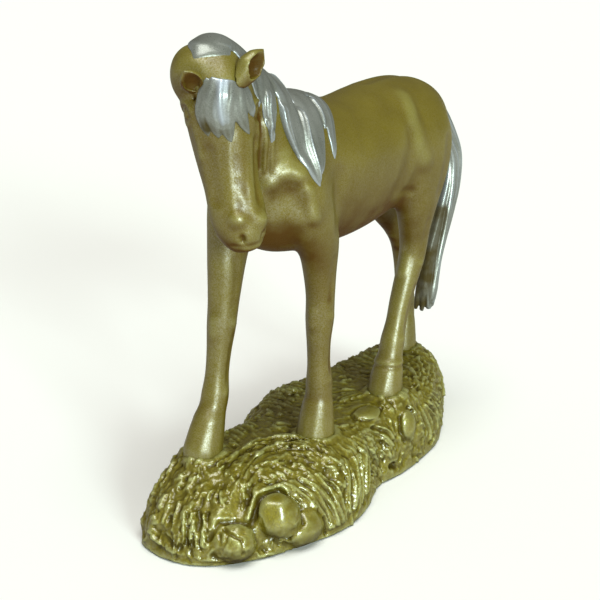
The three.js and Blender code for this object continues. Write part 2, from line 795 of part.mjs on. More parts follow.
// Mane, forelock and tail
const skinSpace = join([headSpace, bodySpace, ...ears.map(({ space }) => space)]);
const crest = lockOn(neckForm, CREST.map(drawn).map(vector), CREST_WIDTH, CREST_THICKNESS);
const maneLocks = MANE_LOCKS.map(({ path, width }) =>
  lockOn(neckForm, path.map(drawn).map(vector), width * SIZE, LOCK_THICKNESS, MANE_LIFT),
);
place(horse, "mane", join([crest, ...maneLocks]).subtract(skinSpace), "silver");
const forelockLocks = FORELOCK.map(({ path, width }) => {
  const points = path.map(([section, angle]) => headForm.point(section, radians(angle), GLUE_GAP));
  return lockOn(headForm, points, width * SIZE, LOCK_THICKNESS);
});
place(horse, "forelock", join(forelockLocks).subtract(skinSpace), "silver");
place(horse, "tail", tailForm.solid().subtract(bodySpace.add(tailPinBore)), "silver");
place(horse, "tail_pin", bar(tailPinEnds, TAIL_PIN_DIAMETER), "steel");

// Base with its stones, hoof seats, wire holes and felt recess, and the felt
const legSpace = join([...wireBores, ...legs.map(({ form }) => form.solid(GLUE_GAP))]);
const seats = legSpace.translate(...horseShift.toArray());
const underside = join([levelBlock(FELT_PROUD, false), feltSolid(GLUE_GAP)]);
const ground = join([groundSolid(), ...STONES.map(stone), ...GRASS_TUFTS.map(tuft)]);
place(statue, "base", ground.subtract(seats.add(underside)), "gold");
place(statue, "felt_pad", feltSolid(), "felt");

export default statue;
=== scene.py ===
# %% [markdown]
# # A resin horse statue
# The real object is a shelf ornament: a horse cast in resin, painted olive gold with a silver mane and
# tail, on a base shaped like rough ground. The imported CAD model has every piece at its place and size, but
# its surfaces are plain. This lesson gives each piece the surface that a sculptor and a painter gave the
# real one. We load the model first, because everything is fitted to it.

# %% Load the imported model
import math

import bpy
import numpy as np
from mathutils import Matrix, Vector
from mathutils.bvhtree import BVHTree
from mathutils.kdtree import KDTree


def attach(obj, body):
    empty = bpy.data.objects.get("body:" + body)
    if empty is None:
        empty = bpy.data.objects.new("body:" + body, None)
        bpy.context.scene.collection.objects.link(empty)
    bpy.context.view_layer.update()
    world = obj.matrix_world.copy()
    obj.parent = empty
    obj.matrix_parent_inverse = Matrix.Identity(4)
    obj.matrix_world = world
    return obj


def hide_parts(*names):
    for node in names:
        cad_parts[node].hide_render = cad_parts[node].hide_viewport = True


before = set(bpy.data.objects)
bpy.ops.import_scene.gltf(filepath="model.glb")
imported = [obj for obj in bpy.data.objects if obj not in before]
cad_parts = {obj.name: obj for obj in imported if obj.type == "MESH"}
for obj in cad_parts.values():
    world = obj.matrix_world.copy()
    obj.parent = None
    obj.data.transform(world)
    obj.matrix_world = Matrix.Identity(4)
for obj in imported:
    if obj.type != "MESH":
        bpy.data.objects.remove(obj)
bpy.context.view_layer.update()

MM = 0.001

# %% [markdown]
# ## Camera
# The statue stands below the eye, turned so that its left side and its face show. A long lens from half a
# metre gives the flat perspective of the picture. The camera is placed by two angles and a distance from
# the point it looks at, which is easier to reason about than a location.

# %% Camera
AIM = Vector((-15.47, 5.0, 70.21)) * MM
AZIMUTH, ELEVATION = math.radians(33.95), math.radians(17.16)
CAMERA_DISTANCE = 535.37 * MM
LENS, SENSOR = 76.9, 36  # focal length and picture width, in mm


def towards(azimuth, elevation):
    """Unit direction from the statue to a place round it."""
    level = math.cos(elevation)
    return Vector((math.sin(azimuth) * level, -math.cos(azimuth) * level, math.sin(elevation)))


view_back = towards(AZIMUTH, ELEVATION)
bpy.ops.object.camera_add(location=AIM + CAMERA_DISTANCE * view_back)
camera = bpy.context.object
camera.rotation_euler = view_back.to_track_quat("Z", "Y").to_euler()
camera.data.lens = LENS
camera.data.sensor_width = SENSOR
bpy.context.scene.camera = camera
print("camera at", [round(x, 3) for x in camera.location])

# %% [markdown]
# ## Floor and light
# A plain pale floor and two large soft lamps, as in a small photo booth. Metallic paint shows mostly what
# it mirrors, so the place of the lamps shapes the highlights: a cool key lamp stands to the right of the
# camera and no higher, and a wide one hangs overhead. Sun lamps light the floor evenly, and a wide angle
# makes them soft. The room adds a dim warm fill. The floor is so large that its far edge shows from no
# side.


# %% Floor and light
def soft_lamp(name, azimuth, elevation, width, strength, colour):
    """A far lamp that looks as wide as an angle in degrees."""
    away = towards(math.radians(azimuth), math.radians(elevation))
    bpy.ops.object.light_add(type="SUN", location=AIM + away)
    lamp = bpy.context.object
    lamp.name = name
    lamp.rotation_euler = away.to_track_quat("Z", "Y").to_euler()
    lamp.data.angle = math.radians(width)
    lamp.data.energy = strength
    lamp.data.color = colour


def nodes_of(owner):
    """Empty node tree of a material or world."""
    owner.use_nodes = True
    owner.node_tree.nodes.clear()
    return owner.node_tree


def wire(tree, source, end):
    """Lead an output, given as (node, socket), or a plain value into an input, given as (node, socket)."""
    socket = end[0].inputs[end[1]]
    if isinstance(source, tuple) and isinstance(source[0], bpy.types.Node):
        tree.links.new(source[0].outputs[source[1]], socket)
    else:
        socket.default_value = source


FLOOR_SIZE = 40  # in metres
PAPER = (0.9, 0.9, 0.89, 1)
ROOM_LIGHT, ROOM_STRENGTH = (1.0, 0.93, 0.83, 1), 0.28
bpy.ops.object.select_all(action="DESELECT")
bpy.ops.mesh.primitive_plane_add(size=FLOOR_SIZE)
floor = bpy.context.object
floor.name = "floor"
floor_paint = bpy.data.materials.new("floor_paper")
tree = nodes_of(floor_paint)
paper = tree.nodes.new("ShaderNodeBsdfDiffuse")
wire(tree, PAPER, (paper, "Color"))
wire(tree, (paper, 0), (tree.nodes.new("ShaderNodeOutputMaterial"), "Surface"))
floor.data.materials.append(floor_paint)

room = bpy.data.worlds.new("pale_room")
bpy.context.scene.world = room
tree = nodes_of(room)
glow = tree.nodes.new("ShaderNodeBackground")
wire(tree, ROOM_LIGHT, (glow, "Color"))
wire(tree, ROOM_STRENGTH, (glow, "Strength"))
wire(tree, (glow, 0), (tree.nodes.new("ShaderNodeOutputWorld"), "Surface"))

soft_lamp("key_lamp", azimuth=60, elevation=16, width=16, strength=2.7, colour=(0.83, 1.0, 0.93))
soft_lamp("top_lamp", azimuth=40, elevation=72, width=40, strength=2.2, colour=(0.97, 1.0, 0.95))
bpy.context.scene.view_settings.view_transform = "Standard"

# %% [markdown]
# ## Working with copies of the CAD pieces
# The CAD pieces are the frame, and their meshes stay untouched. A sculptor would start from a rough
# casting, so we start from merged copies of the CAD meshes. These helpers pick objects, enter and leave
# edit mode, copy nodes into one mesh, and apply a modifier the way the Apply button does.


# %% Helpers for pieces
def pick(*objects):
    """Select only these, and make the first one active."""
    bpy.ops.object.select_all(action="DESELECT")
    for one in objects:
        one.select_set(True)
    bpy.context.view_layer.objects.active = objects[0]


def edit(piece, mode="VERT", whole=False):
    """Enter edit mode on one piece, with the whole of it selected or nothing."""
    pick(piece)
    bpy.ops.object.mode_set(mode="EDIT")
    bpy.ops.mesh.select_mode(type=mode)
    bpy.ops.mesh.select_all(action="SELECT" if whole else "DESELECT")


def leave_edit():
    bpy.ops.object.mode_set(mode="OBJECT")


def joined(name, objects):
    """Join objects into the first one, and give it a name."""
    pick(*objects)
    if len(objects) > 1:
        bpy.ops.object.join()
    piece = objects[0]
    piece.name = piece.data.name = name
    return piece


MERGE = 0.002  # points nearer than this are one, in mm


def cast_copy(name, *nodes):
    """Copies of CAD nodes as one merged mesh without a material."""
    copies = []
    for node in nodes:
        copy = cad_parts[node].copy()
        copy.data = copy.data.copy()
        copy.parent = None
        for key in [k for k in copy.keys() if k.startswith("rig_")]:
            del copy[key]
        copy.hide_viewport = copy.hide_render = False
        bpy.context.scene.collection.objects.link(copy)
        copies.append(copy)
    piece = joined(name, copies)
    piece.data.materials.clear()
    edit(piece, whole=True)
    bpy.ops.mesh.remove_doubles(threshold=MERGE * MM)
    leave_edit()
    return piece


def modify(piece, kind, **settings):
    """Add a modifier and apply it."""
    pick(piece)
    modifier = piece.modifiers.new(kind.lower(), kind)
    for key, value in settings.items():
        setattr(modifier, key, value)
    bpy.ops.object.modifier_apply(modifier=modifier.name)
    return piece


def voxels(piece, size):
    """One closed skin of even small quads over everything in the piece."""
    return modify(piece, "REMESH", mode="VOXEL", voxel_size=size * MM, use_smooth_shade=True)


print("helpers ready for", len(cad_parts), "nodes")

# %% [markdown]
# ## Clay
# After a voxel remesh a piece behaves like clay. In Blender's sculpt mode one would now draw with the
# Smooth, Draw and Crease brushes. A script has no hand, so each brush stroke is written down: a path over
# the surface, a radius, and how far the surface rises or sinks. All places are in the horse's own
# millimetres, with zero between its soles.

# %% Places on the horse
HORSE = np.array((2.5, 5.0, 28.0))  # where the horse's own zero stands in the frame, in mm


def in_frame(spot):
    """Place in the frame, in metres, of a spot in the horse's millimetres."""
    return Vector((np.array(spot) + HORSE) * MM)


def read(items, key, width=3, kind=np.float32):
    """One row of numbers per item, such as the place of each point."""
    flat = np.empty(width * len(items), kind)
    items.foreach_get(key, flat)
    return flat.reshape(-1, width)


def spots_of(piece):
    """Places of a piece's points in the horse's millimetres."""
    return read(piece.data.vertices, "co").astype(float) / MM - HORSE


def put_spots(piece, spots):
    """Move a piece's points to places in the horse's millimetres."""
    piece.data.vertices.foreach_set("co", ((spots + HORSE) * MM).astype(np.float32).ravel())
    piece.data.update()
    return piece


def through(points, shares):
    """Smooth curve through points, at shares of its length from 0 to 1."""
    points = np.array(points, float)
    ends = np.vstack([2 * points[0] - points[1], points, 2 * points[-1] - points[-2]])
    place = np.clip(np.array(shares, float), 0, 1) * (len(points) - 1)
    i = np.minimum(place.astype(int), len(points) - 2)
    f = (place - i)[:, None]
    a, b, c, d = (ends[i + k] for k in range(4))
    return b + 0.5 * f * (c - a + f * (2 * a - 5 * b + 4 * c - d + f * (3 * (b - c) + d - a)))


print("the horse's zero lies at", HORSE, "mm in the frame")

# %% [markdown]
# The clay itself holds all points of a piece in one array, so a stroke can move thousands of them at once.
# It finds the skin under its path, and the points near the path move along their own outward direction. The
# hollows that arise are stored with the points, because the painted shade and highlights read them later.


# %% Clay
class Clay:
    """The skin of a piece as soft clay."""

    def __init__(self, piece):
        self.piece = piece
        self.edges = read(piece.data.edges, "vertices", 2, np.int32)
        self.spots = spots_of(piece)
        self.settle()

    def settle(self):
        """Write the places into the mesh, and read how the skin faces now."""
        put_spots(self.piece, self.spots)
        self.out = read(self.piece.data.vertex_normals, "vector").astype(float)
        self.skin = BVHTree.FromObject(self.piece, bpy.context.evaluated_depsgraph_get())
        return self

    def middle(self, values):
        """Mean of each spot's neighbours."""
        a, b = self.edges.T
        count = len(values)
        each = [np.bincount(a, v[b], count) + np.bincount(b, v[a], count) for v in values.T]
        return np.column_stack(each) / np.bincount(self.edges.ravel(), minlength=count)[:, None]

    def relax(self, rounds, weight=1.0):
        """Smooth brush over the spots, as strong as their weight."""
        share = 0.5 * np.broadcast_to(weight, len(self.spots))[:, None]
        for _ in range(rounds):
            self.spots += share * (self.middle(self.spots) - self.spots)
        return self.settle()

    def near(self, spot):
        """Place and outward direction on the skin nearest to a spot."""
        place, facing, _, _ = self.skin.find_nearest(in_frame(spot))
        return np.array(place) / MM - HORSE, np.array(facing)

    def stroke(self, path, radius, height):
        """Raise a soft ridge along a path on the skin, or sink a groove if the height is negative."""
        places, facings = map(np.array, zip(*[self.near(p) for p in path]))
        low, high = places.min(0) - radius, places.max(0) + radius
        close = np.where(((self.spots > low) & (self.spots < high)).all(1))[0]
        here = self.spots[close]
        best = np.full(len(close), np.inf)
        facing = np.zeros_like(here)
        for k in range(max(1, len(places) - 1)):
            start, end = places[k], places[min(k + 1, len(places) - 1)]
            step = end - start
            share = np.clip((here - start) @ step / max(step @ step, 1e-9), 0, 1)
            gap = np.linalg.norm(here - start - share[:, None] * step, axis=1)
            closer = gap < best
            best[closer] = gap[closer]
            facing[closer] = facings[k]
        fall = np.clip(1 - (best / radius) ** 2, 0, 1) ** 2
        # Skin that faces another way stays, so that a stroke does not reach through a thin part.
        alike = np.clip(2 * (facing * self.out[close]).sum(1), 0, 1)
        self.spots[close] += (fall * alike * height)[:, None] * self.out[close]

    def strokes(self, rows):
        """Several strokes, each given as a path, a radius and a height."""
        for path, radius, height in rows:
            self.stroke(path, radius, height)
        return self.settle()

    def beside(self, path, radius):
        """Soft mask of the spots along a path, 1 on the path and 0 from the radius on."""
        marks = through(path, np.linspace(0, 1, 24))
        gap = np.min([np.linalg.norm(self.spots - mark, axis=1) for mark in marks], axis=0)
        return np.clip(1 - (gap / radius) ** 2, 0, 1) ** 2

    def paint(self, path, radius, amount):
        """Add painted shade along a path into the stored hollows, or a painted highlight if the amount is
        negative.
        """
        layer = self.piece.data.attributes["hollow"]
        values = read(layer.data, "value", 1)[:, 0]
        values += amount * self.beside(path, radius)
        layer.data.foreach_set("value", np.clip(values, -1, 1))
        return self

    def hollows(self, rounds, depth):
        """Store for the paint how deep each spot lies under the smoothed skin: 1 at the given depth."""
        smooth = self.spots.copy()
        for _ in range(rounds):
            smooth += 0.7 * (self.middle(smooth) - smooth)
        sunk = ((smooth - self.spots) * self.out).sum(1) / depth
        for _ in range(2):
            sunk = 0.5 * (sunk + self.middle(sunk[:, None])[:, 0])
        layer = self.piece.data.attributes.new("hollow", "FLOAT", "POINT")
        layer.data.foreach_set("value", np.clip(sunk, -1, 1).astype(np.float32))
        return self


print("clay helpers ready")

# %% [markdown]
# ## The horse's body
# Trunk, neck, head and legs are separate castings that the maker glued, filled and painted over, so no
# joint shows. We do the same: copies of all of them swell by the width of the glue film, a voxel remesh
# makes one skin over them, and the smooth brush fills the corners where they met. Sculpting each casting by
# itself would leave a step at every joint. The sole level is cut flat with bisect.

# %% One skin over trunk, neck, head and legs
LEGS = ("left_foreleg", "right_foreleg", "left_hind_leg", "right_hind_leg")
STEEL_NODES = (*[leg + "_wire" for leg in LEGS], "neck_dowel", "tail_pin")
GLUE_GAP = 0.3
BODY_VOXEL = 0.65
SOLE_LEVEL = 0.05
UP = (0, 0, 1)

body = cast_copy("horse_body", "torso", "head_and_neck", *LEGS, *STEEL_NODES)
modify(body, "DISPLACE", strength=GLUE_GAP * MM, mid_level=0)
voxels(body, BODY_VOXEL)
edit(body, whole=True)
bpy.ops.mesh.bisect(plane_co=in_frame((0, 0, SOLE_LEVEL)), plane_no=UP, use_fill=True, clear_inner=True)
leave_edit()
print("body skin:", len(body.data.vertices), "points")

# %% [markdown]
# The smooth brush is strong on the trunk and the neck, where the castings met at corners. It is gentle on
# the legs and the head, which are thin and would shrink, and gentler still on the hooves.

# %% Smooth the skin
HEAD_FOOT = np.array((4.0, -88.0))  # under the head, in the horse's plan
HEAD_LEFT, HEAD_FRONT = np.array((0.743, 0.669)), np.array((0.669, -0.743))


def on_head(left, front, up):
    """Spot in the horse's millimetres from the head's own left, front and height."""
    return (*(HEAD_FOOT + left * HEAD_LEFT + front * HEAD_FRONT), up)


clay = Clay(body)
height = clay.spots[:, 2]
plan = clay.spots[:, :2] - HEAD_FOOT
softness = np.interp(height, (0, 14, 24, 60, 84), (0.05, 0.12, 0.3, 0.4, 1))
from_head = np.hypot(plan @ HEAD_LEFT - np.interp(height, (88, 150), (13, 3.5)), plan @ HEAD_FRONT + 8)
on_face = np.interp(from_head, (12, 20), (1, 0)) * (height > 80)
softness = np.minimum(softness, 1 - 0.65 * on_face)
clay.relax(rounds=90, weight=softness)
clay.spots -= (GLUE_GAP * np.interp(softness, (0.35, 1), (0, 1)))[:, None] * clay.out
clay.settle()
print("softness from", round(softness.min(), 2), "to", round(softness.max(), 2))

# %% [markdown]
# ### Head
# A horse's face has a flat nose bone between two edges, hollows under the cheekbones, round jaws, wide
# nostrils and heavy lids. All of them could be carved in sculpt mode. Written down as strokes, they can be
# changed one by one. The jaws and lids are the same on both sides, so a loop gives them twice.

# %% Head strokes
FACE_HEIGHTS = (87.6, 91.5, 98, 107, 116, 125, 134, 143)
FACE_MIDDLES = (13.6, 12, 10.2, 8.6, 7.2, 6.2, 5.2, 4.2)


def face(across, front, up):
    """Spot on the head, measured from the middle of the face."""
    return on_head(np.interp(up, FACE_HEIGHTS, FACE_MIDDLES) + across, front, up)


def arc(middle, reach_front, reach_up, start, end, across):
    """Part of an oval on the side of the face, by angles in degrees."""
    turns = np.radians(np.linspace(start, end, 9))
    return [
        face(across, middle[0] + reach_front * np.cos(a), middle[1] + reach_up * np.sin(a)) for a in turns
    ]


EYE = (-8.5, 132.5)  # towards the front and up
head_rows = []
for side in (1, -1):
    beside_eye = side * 12
    head_rows += [
        ([face(side * 10.5, -20, 123)], 8, 0.9),
        (arc(EYE, 4.6, 3.6, 10, 170, beside_eye), 1.5, 0.7),
        (arc(EYE, 3.4, 2.4, 20, 160, beside_eye), 0.9, -0.5),
        (arc(EYE, 3.6, 2.6, 200, 340, beside_eye), 0.9, -0.5),
        (arc(EYE, 4.8, 4.2, 200, 340, beside_eye), 1.3, 0.35),
    ]
NOSE_LEFT = [face(8.4, -3, 124), face(7.6, -1.5, 116), face(5.8, 1, 105), face(5.4, 2, 99)]
NOSE_RIGHT = [face(0.6, 0, 124), face(-0.6, 0.5, 116), face(-2, 2, 105), face(-2.2, 3, 99)]
NOSE_MIDDLE = [(np.array(a) + np.array(b)) / 2 for a, b in zip(NOSE_LEFT, NOSE_RIGHT)]
head_rows += [
    (NOSE_MIDDLE, 5.5, 0.5),
    (NOSE_LEFT, 2.6, 0.45),
    (NOSE_RIGHT, 2.4, 0.35),
    ([face(3.4, 1, 118), face(3.2, 1.4, 115)], 3, -0.2),
    ([face(2.4, 2, 110), face(3.6, 2, 107.5)], 2.8, -0.22),
    ([face(0.6, 3, 103), face(1.2, 3, 101)], 2.6, -0.2),
    ([face(3.6, 2.6, 98)], 2.8, -0.2),
    ([face(11, -7, 122), face(10, -4.5, 113), face(9, -1, 104)], 3.6, -1.1),
    ([face(-6, -2, 120), face(-6.4, -0.5, 111), face(-7, 0.5, 104)], 4, -0.7),
    ([face(12.5, -9, 128), face(11.5, -8, 120)], 2.2, 0.6),
    ([face(-9.5, -5, 127), face(-9, -4, 118)], 2.4, 0.5),
    ([face(-1.3, 3.8, 97.4)], 4.2, 1.2),
    ([face(7.8, 0.9, 97.1)], 4.2, 1.2),
    ([face(-1.6, 4.8, 90), face(-1.3, 4.8, 91.4)], 1.5, -1.8),
    ([face(7, 2, 90.4), face(7.6, 1.4, 92)], 1.5, -1.8),
    ([face(-5, 2, 88.6), face(-2, 4, 88.1), face(2, 4, 88), face(6, 2, 88.3), face(9, -1, 88.8)],
     1.2, -0.5),
    ([face(-1, 3, 86.4), face(4, 2, 86.4)], 2.4, 0.5),
    ([face(12.6, -10.4, 132.6), face(12.8, -11.5, 131.4), face(12.8, -12.4, 130)], 1.2, -1.2),
]
clay.strokes(head_rows)
print("head strokes:", len(head_rows))

# %% [markdown]
# ### Neck, trunk and haunches
# The light on the smooth body is broken by a few strong forms: the point of the shoulder with a dark arc
# under it, the ridge of the upper arm, the point of the hip, and the fold in front of the thigh. Each takes
# one or two broad strokes, because small ones would look like dents in the paint.

# %% Neck and trunk strokes
SHOULDER_POINT = [(13.7, -57.1, 114), (14.9, -54.5, 110.5)]
trunk_rows = [
    (SHOULDER_POINT, 8, 1.0),
    ([(11.6, -61.5, 106.6), (12.9, -59.2, 108.4), (15, -55.3, 109.8), (17.6, -53.4, 108.4)], 5.5, 1.6),
    ([(12.6, -61.2, 99), (15.6, -57, 100), (18.6, -54.5, 97.5)], 8, -1.2),
    ([(20.1, -51.4, 102.9), (21, -50.8, 98.2), (21.9, -48.9, 92.1)], 4.2, 0.9),
    ([(-14.8, -58.6, 108.8)], 8, 1.4),
    ([(-12, -64, 102), (-14, -61.5, 104), (-16, -58, 104.4), (-19.5, -56, 101)], 4.2, -1.2),
    ([(-19.3, -55, 104), (-21, -54, 97), (-21.5, -53, 90)], 5, 0.9),
    ([(0, -66, 106), (0, -68, 97), (0, -66, 88)], 4, -1.0),
    ([(22, -30, 104), (22, -32, 95), (21, -33, 86)], 6, -0.7),
    ([(-22, -34, 104), (-22, -36, 95), (-21, -37, 86)], 6, -0.7),
    ([(15, 26.4, 125.1)], 10, 1.2),
    ([(-15, 27.4, 125.1)], 11, 1.2),
    ([(18.5, 25.6, 121), (21.6, 28, 112), (22.5, 31, 101.1)], 7, 0.9),
    ([(-18.5, 27, 121), (-21.6, 29, 112), (-22.5, 32, 101)], 7, 0.9),
    ([(21.2, 22, 113.2), (22.5, 20.2, 105.6), (22.4, 16.4, 99), (21.2, 12, 92.7)], 6, -1.0),
    ([(-21.2, 23, 113.2), (-22.5, 21, 105.6), (-22.4, 18, 99), (-21.2, 14, 92.7)], 4.6, -0.9),
    ([(20.7, 13, 90.6), (19.5, 20, 89.4), (17.7, 26.8, 88.6)], 3, -0.6),
    ([(-20.7, 17, 90.6), (-19.5, 24, 89.4), (-17.7, 30, 88.6)], 3, -0.6),
    ([(21, 49, 106), (20.5, 46, 96), (18.5, 43, 86)], 4.5, -0.6),
    ([(-21, 54, 104), (-20, 56, 94), (-17.5, 62, 84)], 4.5, -0.6),
    ([(0, 20, 134), (0, 40, 134), (0, 58, 131)], 4, -0.6),
    ([(10.7, -65.1, 128), (10, -64.4, 120), (9.9, -64, 111)], 1.3, 0.7),
    ([(11.6, -62, 124), (11.5, -62, 117), (11.3, -61.8, 110.9)], 1.3, 0.7),
    ([(11.2, -63.5, 125), (10.8, -63.1, 117), (10.6, -62.9, 111)], 0.9, -0.5),
    ([(11.8, -66.6, 130), (11, -66.4, 121), (10.2, -66, 112)], 2, -0.7),
]
clay.strokes(trunk_rows)
print("trunk strokes:", len(trunk_rows))

# %% [markdown]
# ### Legs
# The same small forms come back on each leg: a knee or hock that stands out, two tendons behind the cannon
# bone with a groove in front of them, a round fetlock, and a coronet line above the hoof. Each is placed by
# the height and by the leg's own middle line.

# %% Leg strokes
LEG_MIDDLES = {  # height, then the place across and along the horse
    "left_foreleg": (
        (0, 12.4, -34), (13.5, 12.6, -32.8), (23, 12.8, -32.4), (48, 13, -32.3), (69, 13.6, -33.2)
    ),
    "right_foreleg": (
        (0, -13, -73), (13.5, -13, -68.8), (23, -13, -65), (48, -13, -60.3), (69, -13.5, -56.5)
    ),
    "left_hind_leg": (
        (0, 12, 20.5), (13.5, 12, 23.2), (23, 12, 26), (37, 12, 31.2), (48, 12.3, 36), (57, 12.5, 40),
        (68, 13.3, 40),
    ),
    "right_hind_leg": (
        (0, -12, 76), (13.5, -12, 77), (23, -12, 78), (37, -12, 78), (48, -12.3, 77), (57, -12.5, 74),
        (68, -13.2, 67),
    ),
}


def leg_spot(leg, up, across=0.0, forward=0.0):
    """Spot beside a leg's middle line at a height."""
    heights, xs, ys = zip(*LEG_MIDDLES[leg])
    return (np.interp(up, heights, xs) + across, np.interp(up, heights, ys) - forward, up)


def leg_ring(leg, up, reach, tilt=0.0):
    """Points round a leg at a height. A tilted ring is higher behind."""
    turns = np.linspace(0, 2 * np.pi, 25)
    return [leg_spot(leg, up - tilt * np.sin(a), reach * np.cos(a), reach * np.sin(a)) for a in turns]


leg_rows = []
for leg in LEGS:
    knee = 50 if "fore" in leg else 55
    crown = 0.9 if leg == "left_hind_leg" else 0.1  # the coronet stands out on one leg only
    leg_rows += [
        (leg_ring(leg, 14.6, 6.6, -0.6), 1.6, 0.35 * crown),
        (leg_ring(leg, 12.9, 6.8, -0.6), 1.0, -0.45 * crown),
        ([leg_spot(leg, 22.5, 0, -6)], 3, 0.7),
        ([leg_spot(leg, 24, 5, 0)], 2.6, 0.4),
        ([leg_spot(leg, 24, -5, 0)], 2.6, 0.4),
        ([leg_spot(leg, 17.5, 0, -6)], 2.6, -0.6),
        ([leg_spot(leg, knee + 2, 0, 6), leg_spot(leg, knee - 3, 0, 6)], 3.6, 0.6),
        ([leg_spot(leg, knee, 5.5, 0)], 3.4, 0.5),
        ([leg_spot(leg, knee, -5.5, 0)], 3.4, 0.5),
        ([leg_spot(leg, knee, 0, -6)], 3, 0.5),
    ]
    for side in (5, -5):
        leg_rows.append(([leg_spot(leg, up, side, -1.2) for up in (28, 34, 40, 45)], 1.8, -0.55))
        leg_rows.append(([leg_spot(leg, up, side, 1.0) for up in (57, 62, 68, 74)], 2.6, -0.4))
clay.strokes(leg_rows)
FLANK_CREASE = [(21.2, 23.4, 113.2), (22.5, 17.5, 107), (22.7, 14, 99.7), (21.2, 12, 92)]
clay.relax(rounds=3).relax(rounds=40, weight=clay.beside(FLANK_CREASE, 10))
clay.hollows(rounds=25, depth=0.5)
print("leg strokes:", len(leg_rows))

# %% [markdown]
# Light and shade are painted onto the form as well: brown painted shade in the folds, on the sides of the
# head, over the nose and down the shaded legs, and lighter painted highlights on the hip and the point of
# the shoulder. In Blender this could be vertex paint. Here the strokes change the stored hollows, which the
# paint reads later, so that one value rules both effects.

# %% Painted shade and highlights
# Positive amounts add painted shade, negative amounts a painted highlight.
shading = [
    ([(14.6, 26.3, 125.5), (19, 24, 118), (21.6, 24.5, 110), (22, 28.4, 102)], 6, -0.7),
    ([(21.2, 21, 112), (22.5, 16.5, 106), (22.7, 13.4, 99.7), (21.2, 13, 92.7)], 5, 0.35),
    ([(15.1, 25.8, 84.2), (14.5, 28, 77.4), (12.7, 32.5, 67.7)], 5, 0.5),
    ([(12.6, -61.2, 101.3), (15.6, -56.2, 103.3), (19.1, -53.8, 100.4)], 4.5, 0.45),
    ([(13.7, -57.1, 111), (15, -55, 109.6)], 5, -0.8),
    ([(-4.8, -87, 137.9), (-4, -87.2, 133.9), (-1.9, -87.3, 129.1), (2.1, -87, 126)], 5, 0.4),
    ([(11.9, -73.5, 132.9), (11.2, -70.3, 128), (9.7, -67.1, 123.6)], 4, 0.4),
    ([(-1.2, -85.9, 117), (2.1, -86, 108.7), (5.1, -86.7, 102.3)], 5, 0.2),
    (NOSE_MIDDLE, 7, 0.6),
    (SHOULDER_POINT, 6, -1.0),
]
for leg, amount in (("left_foreleg", 0.9), ("right_foreleg", 0.3)):
    shading.append(([leg_spot(leg, up) for up in (18, 35, 50, 66)], 13, amount))
for path, radius, amount in shading:
    clay.paint(path, radius, amount)
print("shading strokes:", len(shading))

# %% [markdown]
# ### Back to separate castings
# The statue is an assembly, so the sculpted skin is cut where the castings meet: level cuts through the
# legs, and one slanted cut through the root of the neck. Bisect draws each cut, edge split opens it, and
# separating by loose parts gives the pieces. Cutting only now keeps both sides of a joint in line.

# %% Cut the body into its castings
FORE_JOINT, HIND_JOINT = 69, 68
CUT_BAND = 3  # how far beside a cut its faces are looked for
NECK_CUT = (0, -40, 133)
NECK_FACING = Vector((0, -0.753, 0.659)).normalized()


def select_faces(piece, wanted):
    """Select the faces that wanted picks by their middles and normals, and stay in edit mode."""
    edit(piece, "FACE")
    leave_edit()
    faces = piece.data.polygons
    chosen = wanted(read(faces, "center") / MM - HORSE, read(faces, "normal"))
    faces.foreach_set("select", chosen)
    bpy.ops.object.mode_set(mode="EDIT")
    return int(chosen.sum())


def cut(piece, at, facing, wanted):
    """Open a seam along a plane through the wanted faces."""
    select_faces(piece, wanted)
    bpy.ops.mesh.bisect(plane_co=in_frame(at), plane_no=facing, threshold=1e-4 * MM)
    bpy.ops.mesh.edge_split(type="EDGE")
    leave_edit()


def near_level(level, fore):
    """Faces beside a level cut through the forelegs or the hind legs."""
    return lambda spots, out: (abs(spots[:, 2] - level) < CUT_BAND) & ((spots[:, 1] < 0) == fore)


def near_neck(spots, out):
    """Faces beside the neck's cut. The head crosses the same plane further forward, and is left out."""
    along = spots[:, 1]
    chest = (along > -66) | ((out[:, 1] < -0.3) & (along > -70))
    return (abs((spots - NECK_CUT) @ np.array(NECK_FACING)) < CUT_BAND) & chest


cut(body, (0, 0, FORE_JOINT), UP, near_level(FORE_JOINT, True))
cut(body, (0, 0, HIND_JOINT), UP, near_level(HIND_JOINT, False))
cut(body, NECK_CUT, NECK_FACING, near_neck)
edit(body)
bpy.ops.mesh.separate(type="LOOSE")
leave_edit()
print("loose parts:", len(bpy.context.selected_objects))

# %% [markdown]
# Each loose part is named by where it lies, and Fill Holes closes its cut faces. A crumb of a few points
# can fall off along a cut, and is swept away.

# %% Name and close the castings
CRUMB = 200  # points
ABOVE_LEGS = FORE_JOINT + 20
dressed = {"gold_resin": [], "silver_resin": [], "felt": []}


def casting_name(spots):
    """Name of the CAD node that a loose part stands for, from where it lies."""
    x, y, _ = spots.mean(0)
    if spots[:, 2].max() > ABOVE_LEGS:
        return "torso" if spots[:, 1].max() > 0 else "head_and_neck"
    return ("left_" if x > 0 else "right_") + ("foreleg" if y < 0 else "hind_leg")


def finish_piece(piece, slot, *nodes):
    """Let a piece ride with the statue, stand for its CAD nodes and take a finish."""
    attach(piece, "root")
    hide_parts(*nodes)
    dressed[slot].append(piece)
    triangles = sum(len(p.vertices) - 2 for p in piece.data.polygons)
    print(piece.name, "stands for", ", ".join(nodes), "with", triangles, "triangles")


for part in list(bpy.context.selected_objects):
    if len(part.data.vertices) < CRUMB:
        bpy.data.objects.remove(part)
        continue
    node = casting_name(spots_of(part))
    part.name = part.data.name = node + "_casting"
    edit(part, whole=True)
    bpy.ops.mesh.fill_holes(sides=0)
    leave_edit()
    bpy.ops.object.shade_smooth_by_angle(angle=math.radians(60))
    finish_piece(part, "gold_resin", node)
